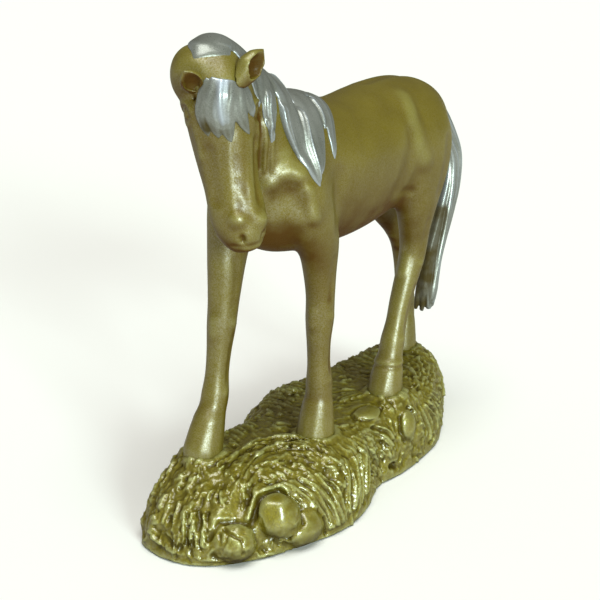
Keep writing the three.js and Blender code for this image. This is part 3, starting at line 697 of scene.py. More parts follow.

# %% [markdown]
# ## Ears
# Each ear is a thin pointed cup on a peg. The CAD cup has the right place and opening, so its copy gets a
# finer skin, soft rims and a blunter tip. The left ear is enlarged a little, because smoothing shrinks it.
# The right ear's lower rim sinks into the head, as on the real statue, where only its hollow shows. Brown
# painted shade is put inside both, on the faces that look towards the camera.

# %% Ears
EARS = {  # foot, growth, shift to the left, front and up, depth of the sunk rim, and a line inside the cup
    "left_ear": (on_head(11.3, -5, 143.5), 1.2, (0, 0, 0), 0, [(12, -71.2, 146), (14, -70.6, 151)]),
    "right_ear": (on_head(-5, -3.8, 140), 0.96, (2.4, -0.6, 0.8), 3.4, [(0, -90, 141), (0.4, -90, 145)]),
}
EAR_VOXEL, EAR_ROUNDS = 0.3, 30
TIP_REACH, TIP_ROUNDS = 7.0, 320
RIM_LEVEL, RIM_DROP = 144.5, 5  # the rim begins to sink at this height, and is down after this drop
for node, (foot, growth, shift, sink, inside) in EARS.items():
    ear = voxels(cast_copy(node + "_casting", node), EAR_VOXEL)
    cup = Clay(ear)
    moved = np.array(on_head(*shift)) - np.array(on_head(0, 0, 0))
    cup.spots = np.array(foot) + growth * (cup.spots - foot) + moved
    low = np.clip((RIM_LEVEL - cup.spots[:, 2]) / RIM_DROP, 0, 1)
    cup.spots[:, :2] -= (sink * low)[:, None] * HEAD_FRONT
    tip = cup.spots[np.argmax(np.linalg.norm(cup.spots - foot, axis=1))]
    at_tip = np.clip(1 - np.linalg.norm(cup.spots - tip, axis=1) / TIP_REACH, 0, 1)
    cup.relax(EAR_ROUNDS).relax(TIP_ROUNDS, at_tip).hollows(rounds=60, depth=0.45)
    # Painted shade inside the cup, on the faces towards the camera.
    to_viewer = cup.out @ np.array(view_back) > 0.1
    cup.paint(inside, 4, 1.3 * to_viewer)
    finish_piece(ear, "gold_resin", node)

# %% [markdown]
# ## Hair
# The sculptor built mane, forelock and tail from flat tapering locks with long grooves. One lock starts as
# a sphere: its poles become root and tip, and its rings are strung along a path on the skin under it. Every
# point is laid onto that skin, so that a wide lock bends round the neck. All locks of one piece are then
# melted together by a voxel remesh. Blender's hair curves would give single hairs, which a casting lacks.


# %% One lock of hair
SINK = 0.5  # depth of a lock's underside in the skin, in mm


def lock_start(segments, rings):
    """A sphere to shape into a lock, and each point's share along it and angle round it."""
    bpy.ops.object.select_all(action="DESELECT")
    bpy.ops.mesh.primitive_uv_sphere_add(segments=segments, ring_count=rings, radius=1)
    ball = bpy.context.object
    x, y, z = read(ball.data.vertices, "co").T
    return ball, np.arccos(np.clip(z, -1, 1)) / np.pi, np.arctan2(y, x)


def lock_on(clay, path, width, thick, taper=3.2, flutes=2, ribs=0.12, root=0.9, start=1.0, phase=0.0):
    """A lock laid on a clay skin, with its width, thickness, taper and the strands across it."""
    ball, along, turn = lock_start(segments=56, rings=64)
    spine = through(path, along)
    ahead = through(path, along + 0.01) - through(path, along - 0.01)
    full = np.interp(along, (0, 0.3), (root, 1)) * np.clip(1 - along**taper, 0, 1) ** 0.75
    across, up = np.cos(turn), np.sin(turn)
    strand = np.cos(np.pi * flutes * (across + 0.12 * np.sin(5 * along + phase)) + phase)
    thickness = thick * full * np.interp(along, (0, 0.25), (start, 1))
    # Strands run over the top, and the underside lies flat in the skin.
    rise = np.where(up > 0, thickness * np.abs(up) ** 0.8 * (1 + ribs * strand), SINK * up)
    spots = np.empty_like(spine)
    # Each point goes sideways from the middle line, and then down onto the skin.
    for k, centre in enumerate(spine):
        _, facing = clay.near(centre)
        side = np.cross(ahead[k], facing)
        side /= max(np.linalg.norm(side), 1e-9)
        place, facing = clay.near(centre + side * across[k] * full[k] * width / 2)
        spots[k] = place + facing * rise[k]
    return put_spots(ball, spots)


print("lock helper ready")

# %% [markdown]
# ### Forelock
# The forelock falls from between the ears as a fan of narrow locks over the forehead. A painted highlight
# runs along its middle, and the tips and the sides are made darker.

# %% Forelock
FORELOCK = [
    ([(4.5, -85.1, 144.4), (2.9, -87, 139.2), (1.8, -87.5, 133.8), (2.6, -87.1, 129.1),
      (3.4, -86.5, 125.4)], 7, 1.0),
    ([(6, -83.7, 145), (5.6, -85.6, 139.2), (5.4, -86.2, 133.3), (6.2, -85.6, 128.6), (6.6, -85.2, 124.9)],
     7.5, 1.5),
    ([(8.1, -81.6, 144.6), (8.6, -83, 139.1), (8.6, -83.7, 133.2), (9, -83.3, 127.8), (9.7, -82.6, 123.4)],
     7.5, 1.6),
    ([(9.5, -79.1, 143.4), (10.6, -79.6, 138.2), (11.2, -79.4, 133.6), (11.9, -78.1, 129.4),
      (12.3, -76, 125.4)], 7, 1.3),
    ([(10.5, -76.6, 141.9), (11.4, -75.6, 137.8), (11.9, -74.6, 134.4), (11.9, -73, 130.8)], 6, 1.0),
    ([(7.2, -82.6, 144.6), (7.4, -84.2, 139.9), (7.4, -84.8, 135.3), (7.9, -84.5, 130.6), (8.2, -84, 127)],
     6, 2.1),
]


def melt(name, locks, voxel, rounds):
    """Melt locks into one skin."""
    print(name, "of", len(locks), "locks")
    piece = voxels(joined(name, locks), voxel)
    return Clay(piece).relax(rounds).hollows(rounds=12, depth=0.35)


locks = [
    lock_on(clay, path, width, thick, taper=2.6, root=0.75, start=0.6, phase=0.9 * k)
    for k, (path, width, thick) in enumerate(FORELOCK)
]
hair = melt("forelock_casting", locks, voxel=0.3, rounds=4)
BRIGHT_STRIP = [(7, -83, 146), (7.2, -84.4, 139.9), (7.2, -85, 135.3), (7.6, -84.6, 130.6)]
# Painted highlight along the middle lock.
hair.paint(BRIGHT_STRIP, 3.4, -1.1)
# Darker paint at the tips and on both sides.
hair.paint([(2.6, -87, 128), (6.4, -85.4, 127), (9.3, -83, 126), (12, -77, 127.5)], 6, 0.8)
hair.paint([(3, -86.5, 141), (1.8, -87.5, 134), (2.6, -87, 128)], 3.5, 0.4)
hair.paint([(10.8, -79.4, 141), (11.4, -78.6, 131)], 4, 0.3)
finish_piece(hair.piece, "silver_resin", "forelock")

# %% [markdown]
# ### Mane
# A smooth cap of hair lies over the crest, and tapering locks fall from it down the left side of the neck.
# The long lock in the middle reaches the shoulder. Narrow locks on top of the wide ones part them into
# strands. The front edge of the cap is smoothed, so that it grows out of the head without a step.

# %% Mane
CREST = [(2.8, -82.2, 150.6), (-1.5, -79, 155.5), (-3.5, -71, 155.5), (-2.5, -61, 148), (-1, -50, 141),
         (0, -38, 136), (0, -26, 133), (0, -16, 131)]
MANE = [
    ([(-1, -72, 153.5), (4, -70, 149), (7.5, -69, 144), (9, -68, 139), (9.8, -67.4, 133)], 7, 1.0, 2),
    ([(-3, -62, 149.5), (3, -60.5, 146), (7.2, -60.5, 141.8), (9.6, -61.5, 137), (10.9, -62, 131.5),
      (11.5, -62.5, 126), (11.8, -62.3, 120.4)], 13.5, 1.6, 1.6),
    ([(-1, -52, 142.5), (5, -51, 139), (8.5, -50, 134.5), (11.9, -50, 128.5), (14.4, -49.2, 121),
      (17.5, -48.6, 114), (20, -46.8, 107.5), (21.6, -45.2, 102.8)], 12.5, 2.0, 2),
    ([(0, -38, 137), (5, -36.5, 134), (10, -37.4, 129.3), (14, -39, 124), (17.2, -40.6, 117.6),
      (19.4, -41.6, 111.6), (20.7, -43, 107)], 12.5, 1.4, 2.2),
    ([(0, -24, 133), (6, -25, 130.8), (12, -27.3, 126.9), (16.3, -30.5, 120.4), (18.3, -31.6, 114.1),
      (19.1, -32, 110.5)], 6.5, 1.3, 2),
    ([(8.5, -43.5, 131), (10, -43.3, 128.8), (14.2, -45, 122.1), (18.3, -46, 115.4), (20.7, -45.5, 108.4),
      (21.5, -45.3, 104)], 4.5, 2.9, 3),
    ([(5, -60, 144.5), (9.6, -62.4, 137.5), (10.8, -63.3, 132.8), (11.4, -63, 126.6),
      (11.8, -62.4, 121.5)], 3.6, 2.4, 3),
    ([(7.5, -54.5, 137), (11, -55, 131.5), (13, -54.8, 125.5), (15.5, -52.5, 118), (18.5, -49.5, 110.5)],
     3.6, 2.4, 3),
    ([(4, -32, 133.6), (9, -31.5, 130), (12.8, -32, 126), (15.6, -33.5, 121.5)], 3.2, 2.0, 3),
    ([(2, -57, 146), (4.5, -50.5, 140.8), (6.5, -46, 136.5), (9, -43, 131.5)], 4, 2.8, 3),
]
NARROW = 5  # a lock under this width is a ridge on the others, and starts thin
locks = [lock_on(clay, CREST, width=17, thick=2.4, taper=4, ribs=0, root=0.98, start=0.08)]
for k, (path, width, thick, taper) in enumerate(MANE):
    root, start = (0.25, 0.15) if width < NARROW else (0.9, 1.0)
    locks.append(lock_on(clay, path, width, thick, taper, root=root, start=start, phase=1.3 * k))
hair = melt("mane_casting", locks, voxel=0.34, rounds=3)
CAP_EDGE = [(-3.7, -86.6, 150.6), (-0.4, -86, 151.2), (1.8, -82.9, 151.2), (3.6, -80.3, 150.8),
            (6, -77.6, 149.8)]
hair.relax(rounds=90, weight=np.minimum(1, 2 * hair.beside(CAP_EDGE, 6)))
# Painted shade along the cap's front edge, which dulls the highlight there.
hair.paint(CAP_EDGE, 3, 0.7)
finish_piece(hair.piece, "silver_resin", "mane")

# %% [markdown]
# ### Tail
# The tail hangs free of the body, so its strands are not laid on a skin. They run side by side round the
# tail's middle line, twist a little, and end at different heights. A curve with a round bevel could make a
# strand too, but the same sphere as before is closed at both ends, which the remesh needs.

# %% Tail
TAIL_PATH = [(0, 68, 116), (0.5, 73, 116), (1.5, 79.5, 111), (3.5, 84.5, 102), (5, 88, 92), (5.5, 86.5, 81)]
TAIL_PATH += [(5.8, 82, 71), (6, 76.5, 60.5), (6, 71, 49), (6, 68, 38), (6.3, 66.5, 31), (6.5, 66, 24)]
TAIL_RINGS = 72
OUTER_STRANDS, INNER_STRANDS = 11, 5
LOOSE_ENDS = [(-3.2, -2.2, -2), (-1.8, -1.6, -4), (-4.2, -2.6, -5)]


def tail_strand(turn_start, reach, thick, end, phase, drift=(0, 0, 0)):
    """One strand beside the tail's middle line. It can drift away from it towards its blunt end."""
    ball, along, turn = lock_start(segments=20, rings=TAIL_RINGS)
    share = np.minimum(along, 1 - 1 / TAIL_RINGS) * end
    spine = through(TAIL_PATH, share)
    ahead = through(TAIL_PATH, share + 0.01) - through(TAIL_PATH, share - 0.01)
    ahead /= np.linalg.norm(ahead, axis=1)[:, None]
    side = np.array((1.0, 0, 0)) - ahead * ahead[:, :1]
    side /= np.linalg.norm(side, axis=1)[:, None]
    front = np.cross(side, ahead)
    # The strand winds slowly round the middle line, and only its lower part drifts.
    lean = turn_start + 1.1 * share + 0.35 * np.sin(6 * share + phase)
    full = np.clip(along / 0.08, 0.35, 1) * np.clip(1 - along**40, 0, 1) ** 0.6
    body_full = np.interp(share, (0, 0.12, 0.5, 0.85, 1), (0.75, 0.9, 1, 0.95, 0.7))
    wide, deep = 2.9 * reach * body_full, 4.4 * reach * body_full
    spot = spine + side * (wide * np.cos(lean))[:, None] + front * (deep * np.sin(lean))[:, None]
    spot += np.array(drift) * (np.clip(share - 0.55, 0, 1) / 0.45)[:, None] ** 2
    size = (thick * full * body_full)[:, None]
    return put_spots(ball, spot + size * (side * np.cos(turn)[:, None] + front * np.sin(turn)[:, None]))


locks = []
for k in range(OUTER_STRANDS):
    turn_start = 2 * np.pi * k / OUTER_STRANDS + 0.25 * np.sin(3 * k)
    thick, end = 1.5 + 0.35 * np.sin(2.2 * k), 0.985 - 0.024 * (k * 5 % 4)
    locks.append(tail_strand(turn_start, 1.0, thick, end, 1.7 * k))
for k in range(INNER_STRANDS):
    locks.append(tail_strand(2 * np.pi * k / INNER_STRANDS + 0.3, 0.45, 2.3, 1 - 0.012 * k, 0.8 * k))
for k, drift in enumerate(LOOSE_ENDS):
    locks.append(tail_strand(3.6 + 0.5 * k, 0.8, 1.5, 0.97 - 0.01 * k, 1.1 * k, drift))
hair = melt("tail_casting", locks, voxel=0.36, rounds=2)
# Brown on the side towards the legs and on the lower part: partly where the silver does not cover, partly
# painted shade.
hair.paint([(7.5, 74.3, 67.4), (7.3, 72.1, 63.2), (6.7, 69.8, 59), (6, 67, 52.7)], 7, 2.2)
hair.paint([(5.4, 65, 47.5), (5, 63, 37.4), (4.5, 61.4, 30.5), (3, 61, 24)], 8, 2.0)
finish_piece(hair.piece, "silver_resin", "tail")

# %% [markdown]
# ## Base
# The base is a lump of ground with combed grass, stones and cracks, all one casting. A copy of the CAD base
# and a few stones are melted into one fine skin. The stones are spheres, pulled into shape in edit mode
# before they are set into the ground.

# %% Ground skin with its stones
BASE_VOXEL = 0.6


def stone(name, middle, radii, flats=()):
    """A worn stone: a sphere of three radii, ground flat on sides given by direction and distance."""
    bpy.ops.object.select_all(action="DESELECT")
    bpy.ops.mesh.primitive_uv_sphere_add(segments=40, ring_count=24, radius=1)
    ball = bpy.context.object
    ball.name = name
    edit(ball, whole=True)
    bpy.ops.transform.resize(value=[r * MM for r in radii])
    bpy.ops.transform.translate(value=in_frame(middle))
    leave_edit()
    shape = Clay(ball)
    for facing, reach in flats:
        facing = np.array(facing) / np.linalg.norm(facing)
        over = np.clip((shape.spots - middle) @ facing - reach, 0, None)
        shape.spots -= 0.9 * over[:, None] * facing
    shape.settle()
    return ball


EGG_FLATS = [((0.5, -0.8, 0.33), 5.4), ((0.95, -0.1, 0.2), 5.8), ((0.2, -0.2, 0.95), 7)]
CRACKED_FLATS = [((0.5, -0.8, 0.3), 6.4), ((0.1, -0.3, 1), 5.6), ((0.9, 0.2, 0.3), 6.4)]
BLOCK_FLATS = [((0.9, -0.35, 0.3), 5.2), ((0.4, -0.3, 0.9), 5.6), ((0.7, 0.6, 0.3), 7)]
BRIGHT_FLATS = [((0.7, -0.6, 0.45), 2.8), ((0.2, 0.2, 1), 6)]
stones = [
    stone("egg_stone", (23.4, -77.6, -12.8), (7.4, 7.6, 8.4), EGG_FLATS),
    stone("cracked_stone", (15, -91, -19.5), (9, 8.8, 7.6), CRACKED_FLATS),
    stone("block_stone", (27.5, -67, -19.5), (7, 11, 7.6), BLOCK_FLATS),
    stone("pebble", (16.2, -2.1, -0.6), (5.6, 8.2, 2.6)),
    stone("bright_stone", (25.6, 14.2, -9.5), (4.4, 5.2, 7.8), BRIGHT_FLATS),
    stone("back_stone", (-27, -8, -17), (8, 12, 9), [((-0.9, -0.3, 0.4), 6.5)]),
    stone("rear_stone", (-18, 78, -16), (8, 9, 9), [((-0.7, 0.6, 0.4), 7)]),
    stone("flat_stone", (-20, 30, -0.5), (7, 9, 2.4)),
]
base = voxels(joined("base_casting", [cast_copy("base_casting", "base"), *stones]), BASE_VOXEL)
ground = Clay(base)
FLOOR_LEVEL = -HORSE[2]
rough = np.interp(ground.spots[:, 2] - FLOOR_LEVEL, (1.2, 4), (0, 1))
ground.relax(rounds=14, weight=rough)
print("ground skin:", len(base.data.vertices), "points")

# %% [markdown]
# ### Grass, cracks and ledges
# The grass is combed in long strands that arch over the ground in front of the left foreleg and fall over
# the edge. A handful of guide strands are drawn, and the strands between two guides are blended from them,
# as hair tools do.

# %% Grass strands
GRASS = [  # how many strands, and the guides of the first and the last one
    (14,
     [(-2.4, -77.8, 0.1), (-2, -71, 0.9), (-2.5, -60.1, 0.8), (0.2, -50.7, 1), (6.4, -44.5, 1.1),
      (14, -41, 0), (23.1, -40.3, 0.3), (29.2, -38.4, -3.5)],
     [(12.5, -81.7, -3.7), (9.8, -74.8, -1.3), (8.4, -66.6, 0), (9.2, -58.5, 0.5), (12.4, -52.3, 0.7),
      (18, -48.5, 0.3), (24.6, -47.5, -1.3), (30, -45.3, -4.8)]),
    (9,
     [(20.5, -71.6, -4.5), (24.4, -69.6, -7.5), (27.9, -67.5, -11)],
     [(22.4, -65.6, -4.3), (28.2, -63, -8.8), (32, -60, -16.3)]),
    (12,
     [(22.4, -65.6, -4.3), (28.2, -63, -8.8), (32, -60, -16.3), (33.7, -58, -24.2)],
     [(27, -53.7, -4.5), (31.9, -51.2, -9.2), (34.9, -49.1, -16.6), (35.7, -47.4, -23.8)]),
    (9,
     [(28, -42.6, -4.2), (32.5, -42.4, -8.4), (35.4, -45.2, -14.7), (36, -47.4, -22)],
     [(28.5, -20.6, -7.7), (31.9, -24.6, -14.8), (33.6, -28.8, -22.2)]),
    (5,
     [(2.3, -0.1, 1.2), (5, 7.4, 1.2), (9, 14.5, 0.2), (18.1, 11.5, 0.9)],
     [(-2.1, 7.6, 1.2), (2.1, 12.6, 1.2), (5.6, 17.5, -0.2)]),
    (8,
     [(22.3, -14.2, -2), (22.6, -4.2, -3.9), (25.5, 1.9, -7.6), (27.2, 4.6, -11.9)],
     [(24.8, -28.4, -0.6), (29.4, -24, -5.7), (31.2, -19.6, -12.6), (31, -14, -20)]),
    (7,
     [(0.6, 69, -1.3), (8.6, 61.7, -3.1), (16, 45.9, -3.1)],
     [(4.1, 50.4, 0.1), (10.5, 44.1, -0.9), (17.5, 34.6, -1.9)]),
    (8,
     [(19, 46.8, -5.8), (18.4, 55.6, -12.3), (18.3, 60.5, -18.9)],
     [(24.5, 30.1, -7.6), (26.4, 34.7, -15.7), (27.3, 35.3, -21.3)]),
    (9,
     [(-10, -58, 0), (-20, -56, -3), (-25, -57, -12)],
     [(-12, -40, 0.5), (-22, -38, -2), (-28, -39, -12)]),
    (10,
     [(-14, -20, 0.5), (-26, -18, -2), (-35, -18, -12)],
     [(-16, 8, 0.5), (-28, 10, -2), (-38, 10, -12)]),
    (10,
     [(-12, 40, 0.5), (-24, 40, -3), (-31, 42, -14)],
     [(-10, 62, 0.5), (-20, 66, -3), (-28, 70, -14)]),
    (8,
     [(-6, 84, -1), (-8, 90, -8), (-8, 94, -18)],
     [(4, 78, -2), (8, 80, -10), (10, 78, -20)]),
]
strand_rows = []
flow_spots, flow_ways = [], []
for count, first, last in GRASS:
    shares = np.linspace(0, 1, 9)
    one, other = through(first, shares), through(last, shares)
    for k in range(count):
        mix = k / (count - 1)
        path = one + (other - one) * mix
        # Strands sway, each a little differently, so that they don't look ruled.
        path[:, :2] += 0.7 * np.sin(2.3 * k + 4 * shares)[:, None]
        strand_rows.append((path, 0.9 + 0.2 * np.sin(1.7 * k), 0.95 + 0.3 * np.sin(2.9 * k)))
        flow_spots.append(path[:-1])
        flow_ways.append(np.diff(path, axis=0))
ground.strokes(strand_rows)
print("long strands:", len(strand_rows))

# %% [markdown]
# The rest of the ground is covered by short strands, some raised and some pressed in. A search tree finds
# the long strand nearest to each, whose direction it follows roughly. Stones and combed grass are left
# free.

# %% Short strands in the same directions
COMBED = 1.8  # width of the combed grass beside a strand
SHORT_STRANDS = 900
STONE_SPOTS = [  # a middle and a radius each
    (23.4, -79, -12, 10), (15, -91, -17, 11), (28, -66, -20, 12), (16.2, -2.1, 0, 9), (26, 14.5, -8, 7)
]
rng = np.random.default_rng(11)
flow_spots, flow_ways = np.vstack(flow_spots), np.vstack(flow_ways)
flow_tree = KDTree(len(flow_spots))
for k, spot in enumerate(flow_spots):
    flow_tree.insert(Vector(spot), k)
flow_tree.balance()
stone_gap = np.min(
    [np.linalg.norm(ground.spots - spot[:3], axis=1) / spot[3] for spot in STONE_SPOTS], axis=0
)
from_grass = np.array([flow_tree.find(Vector(spot))[2] for spot in ground.spots])
open_ground = (rough > 0.5) & (stone_gap > 0.95) & (ground.out[:, 2] > -0.3)
open_ground = np.where(open_ground & (from_grass > COMBED))[0]
short_rows = []
for k in rng.choice(open_ground, SHORT_STRANDS, replace=False):
    spot, out = ground.spots[k], ground.out[k]
    _, near, _ = flow_tree.find(Vector(spot))
    way = flow_ways[near] + rng.normal(0, 0.9, 3)
    way -= out * (way @ out)
    way /= max(np.linalg.norm(way), 1e-6)
    bow = np.cross(out, way) * rng.normal(0, 0.6)
    length = rng.uniform(1.5, 3.6)
    path = [spot - way * length, spot + bow, spot + way * length]
    short_rows.append((path, rng.uniform(0.7, 1.2), rng.choice([-0.5, 0.45, 0.75])))
ground.strokes(short_rows)
print("short strands:", len(short_rows))

# %% [markdown]
# The egg-shaped stone lies in an arched hollow, the stone beside it is cracked, and a row of upright strips
# and a low ledge mark the front end. The ground is drawn up a little round each hoof.

# %% Stones, cracks and ledges
stone_rows = [
    ([(19.8, -86.6, -13.6), (18.2, -80.4, -7.1), (21, -73.2, -5.2), (25.6, -69, -7.6),
      (28.6, -68.4, -12.5)], 1.9, -1.7),
    ([(17.6, -86.6, -11.8), (16.4, -79.8, -5.4), (20, -70.6, -3.6), (26.6, -65.6, -6.4)], 2.2, 0.9),
    ([(24.6, -83, -20.5), (28.6, -77, -21.4), (30.4, -71, -18.4), (30.4, -69.6, -13.5)], 1.4, -1.4),
    ([(19.6, -86.8, -13.6), (22, -87, -19), (23.6, -84.4, -24.5)], 1.3, -1.3),
    ([(9.5, -99.8, -17.5), (10.6, -94.6, -12.6), (15.1, -90.6, -11.4), (19.6, -88, -13.4)], 1.6, -1.3),
    ([(13.5, -95.5, -13.4), (16, -96.6, -14), (18.5, -96.2, -14.8), (21.2, -95.2, -16),
      (22.2, -95.5, -22)], 0.9, -0.9),
    ([(16, -96.6, -14), (16.4, -98, -17), (15.4, -99.4, -20)], 0.8, -0.7),
    ([(12.9, -96.6, -16), (14.6, -97.6, -18), (14, -99, -22)], 0.8, -0.6),
    ([(34, -60, -18.6), (33.4, -58.8, -22), (33, -58.6, -26)], 1.2, -1.0),
    ([(-12.9, -103.9, -21.2), (-3.7, -104.9, -23.2), (6.4, -102.6, -24.2), (13.3, -98, -25.4)], 1.5, 0.9),
    ([(-13.5, -102.5, -18), (-4, -104, -20.6), (1, -104, -21.4)], 1.5, -0.9),
    ([(12.3, -8.3, 1), (12, -2, 1), (13.2, 4, 0.9), (18, 7, 0), (21, 2, -1.2), (21, -6, -1.4),
      (17, -11, -0.4), (12.3, -8.3, 1)], 1.1, -0.9),
    ([(24, 19.5, -3), (24.6, 11, -4.6), (26, 9.5, -10), (27.6, 11, -15)], 1.3, -1.2),
    ([(27.9, 0.2, -22), (28.2, 2.5, -22.4)], 1.8, -2.2),
    ([(24.6, 21, -5), (28, 20, -10), (28.4, 19, -15)], 1.2, -1.0),
]
STRIPS = 4
STRIP = [(-1.9, -99.2, -10.3), (0.3, -102.6, -14.8), (1.4, -104.4, -20.9)]
STRIP_STEP, HALF_STEP = np.array((2.1, 1.0, 0.45)), np.array((1.05, 0.5, 0.2))
for k in range(STRIPS):
    strip = [np.array(spot) + STRIP_STEP * k for spot in STRIP]
    gap = [spot + HALF_STEP for spot in strip]
    stone_rows += [(strip, 1.3, 0.9), (gap, 0.8, -0.8)]
hoof_rings = [leg_ring(leg, up=0.5, reach=8.2) for leg in LEGS]
stone_rows += [(ring, 3.2, 1.6) for ring in hoof_rings]
ground.strokes(stone_rows)
print("stone strokes:", len(stone_rows))

# %% [markdown]
# ### Crumbs and pits
# Fine lumps over the open ground come from three Displace modifiers with procedural textures. A vertex
# group holds them off the smooth stones, the level rim and the underside, and small pits are pressed in
# with strokes.

# %% Crumbs and pits
PITS = 260
CRACKED_SPOT = STONE_SPOTS[1]  # the cracked stone is rougher than the others
smooth_stone = np.interp(stone_gap, (0.7, 1), (0.12, 1))
smooth_stone[np.linalg.norm(ground.spots - CRACKED_SPOT[:3], axis=1) < CRACKED_SPOT[3]] = 0.6
weights = rough * smooth_stone * np.interp(from_grass, (0.6, COMBED), (0.08, 1))
mask = base.vertex_groups.new(name="open_ground")
for level in np.linspace(0.1, 1, 10):
    chosen = np.where(np.abs(weights - level) <= 0.05)[0]
    mask.add([int(i) for i in chosen], float(level), "REPLACE")


def lumps(kind, size, strength, **settings):
    """Displace the open ground by a procedural texture, with its size and strength in mm."""
    texture = bpy.data.textures.new(kind.lower(), kind)
    texture.noise_scale = size * MM
    for key, value in settings.items():
        setattr(texture, key, value)
    modify(
        base, "DISPLACE", texture=texture, texture_coords="LOCAL", strength=strength * MM, mid_level=0.5,
        vertex_group="open_ground",
    )


lumps("CLOUDS", size=7, strength=1.6, noise_depth=1)
lumps("VORONOI", size=3.2, strength=0.5, weight_1=-1, weight_2=1)
lumps("CLOUDS", size=1.7, strength=0.9, noise_depth=2)
ground = Clay(base)
pits = []
for k in rng.choice(open_ground, PITS):
    pits.append(([ground.spots[k]], rng.uniform(0.8, 1.4), -rng.uniform(0.4, 1.0)))
ground.strokes(pits)
ground.hollows(rounds=8, depth=0.28)
# Painted shade round each hoof, where the ground is drawn up.
for ring in hoof_rings:
    ground.paint(ring, 4, 0.5)
print("pits:", len(pits))

# %% [markdown]
# The underside is flat and unseen, so its many small faces are reduced to a few large ones. Decimate in
# edit mode acts on the selected faces only, so the rim keeps its shape.


# %% Plain underside
def on_underside(spots, out):
    """Faces that look straight down, near the floor."""
    return (out[:, 2] < -0.98) & (spots[:, 2] < FLOOR_LEVEL + 3)


flat_faces = select_faces(base, on_underside)
bpy.ops.mesh.decimate(ratio=0.03)
leave_edit()
print("underside faces reduced from", flat_faces)
finish_piece(base, "gold_resin", "base")

# %% [markdown]
# ## Felt
# The felt under the base is a cut sheet, pressed and a little fuzzy. The CAD outline is right, so its copy
# only gets a fine skin with a rounded edge. The fuzz is left to its finish.

# %% Felt
FELT_VOXEL = 0.8
felt = voxels(cast_copy("felt_sheet", "felt_pad"), FELT_VOXEL)
Clay(felt).relax(rounds=3)
finish_piece(felt, "felt", "felt_pad")

# %% [markdown]
# ## Finishes
# The statue is painted resin with metallic paint. Shade is painted into that colour: brown on faces that
# look down and in the hollows is painted shade, and a lighter paint on ridges is a painted highlight. That
# serves gold and silver alike, so it is one node group. The second shared group is the fine grain of metal
# flakes, which breaks up the highlights. A few helpers add the nodes that come back again and again.


# %% Helpers for nodes
def new_group(name, inputs, outputs):
    """Shader node group with named sockets, and its input and output nodes."""
    group = bpy.data.node_groups.new(name, "ShaderNodeTree")
    for label, kind, value in inputs:
        group.interface.new_socket(label, in_out="INPUT", socket_type=kind).default_value = value
    for label, kind in outputs:
        group.interface.new_socket(label, in_out="OUTPUT", socket_type=kind)
    return group, group.nodes.new("NodeGroupInput"), group.nodes.new("NodeGroupOutput")


def fill(node, values):
    """Set inputs of a node by their names."""
    for label, value in values.items():
        node.inputs[label].default_value = value


def ramp(tree, source, low, high, to=(0, 1)):
    """Map a value from low and high onto two others."""
    node = tree.nodes.new("ShaderNodeMapRange")
    fill(node, {"From Min": low, "From Max": high, "To Min": to[0], "To Max": to[1]})
    wire(tree, source, (node, "Value"))
    return node, "Result"


def math_node(tree, kind, *values):
    """Work out one value from two or three."""
    node = tree.nodes.new("ShaderNodeMath")
    node.operation = kind
    for k, value in enumerate(values):
        wire(tree, value, (node, k))
    return node, 0


def noise(tree, size, detail, rough=0.5):
    """Noise on the piece's own coordinates, with the size of its lumps in mm."""
    place = tree.nodes.new("ShaderNodeTexCoord")
    node = tree.nodes.new("ShaderNodeTexNoise")
    fill(node, {"Scale": 1 / (size * MM), "Detail": detail, "Roughness": rough})
    wire(tree, (place, "Object"), (node, "Vector"))
    return node, "Fac"


def mix_colours(tree, share, first, second):
    """Blend two colours by a share."""
    node = tree.nodes.new("ShaderNodeMix")
    node.data_type = "RGBA"
    wire(tree, share, (node, "Factor"))
    colour_inputs = [k for k, s in enumerate(node.inputs) if s.type == "RGBA"]
    for k, value in zip(colour_inputs, (first, second)):
        wire(tree, value, (node, k))
    return node, next(k for k, s in enumerate(node.outputs) if s.type == "RGBA")


print("node helpers ready")

# %% [markdown]
# The painted-light group reads two things: how far a face looks down, and the hollows that the clay stored.
# The larger of the two decides how much brown painted shade shows, in uneven patches. On ridges it blends in
# the lighter paint as a painted highlight.

# %% Node group for painted shade and highlights
COLOUR, VALUE = "NodeSocketColor", "NodeSocketFloat"
shade_group, enter, leave = new_group(
    "painted_shade_and_highlights",
    [("Paint", COLOUR, (1, 1, 1, 1)), ("Raised", COLOUR, (1, 1, 1, 1)), ("Painted Shade", COLOUR, (0, 0, 0, 1)),
     ("Below", VALUE, 1.0), ("Hollows", VALUE, 1.0), ("Ridges", VALUE, 1.0)],
    [("Color", COLOUR), ("Shaded", VALUE)],
)
facing = shade_group.nodes.new("ShaderNodeNewGeometry")
split = shade_group.nodes.new("ShaderNodeSeparateXYZ")
wire(shade_group, (facing, "Normal"), (split, "Vector"))
# Painted shade on faces that look down.
below = math_node(shade_group, "MULTIPLY", ramp(shade_group, (split, "Z"), 0.15, -0.65), (enter, "Below"))
sunk = shade_group.nodes.new("ShaderNodeAttribute")
sunk.attribute_name = "hollow"
# Painted shade in the stored hollows.
deep = math_node(shade_group, "MULTIPLY", ramp(shade_group, (sunk, "Fac"), 0.1, 1.0), (enter, "Hollows"))
patchy = ramp(shade_group, noise(shade_group, size=9, detail=3), 0.3, 0.7, (0.75, 1.25))
both = math_node(shade_group, "MULTIPLY", math_node(shade_group, "MAXIMUM", below, deep), patchy)
both[0].use_clamp = True
# Painted highlight: lighter paint on ridges.
raised = math_node(shade_group, "MULTIPLY", ramp(shade_group, (sunk, "Fac"), -0.1, -0.9), (enter, "Ridges"))
paint_with_highlights = mix_colours(shade_group, raised, (enter, "Paint"), (enter, "Raised"))
coloured = mix_colours(shade_group, both, paint_with_highlights, (enter, "Painted Shade"))
wire(shade_group, coloured, (leave, "Color"))
wire(shade_group, both, (leave, "Shaded"))
print("group painted_shade_and_highlights with", len(shade_group.nodes), "nodes")

# %% [markdown]
# Flakes are the small cells of a Voronoi texture, each with its own brightness. The group also gives a fine
# grain for the bump and a wide cloud, which keeps the paint from looking even.

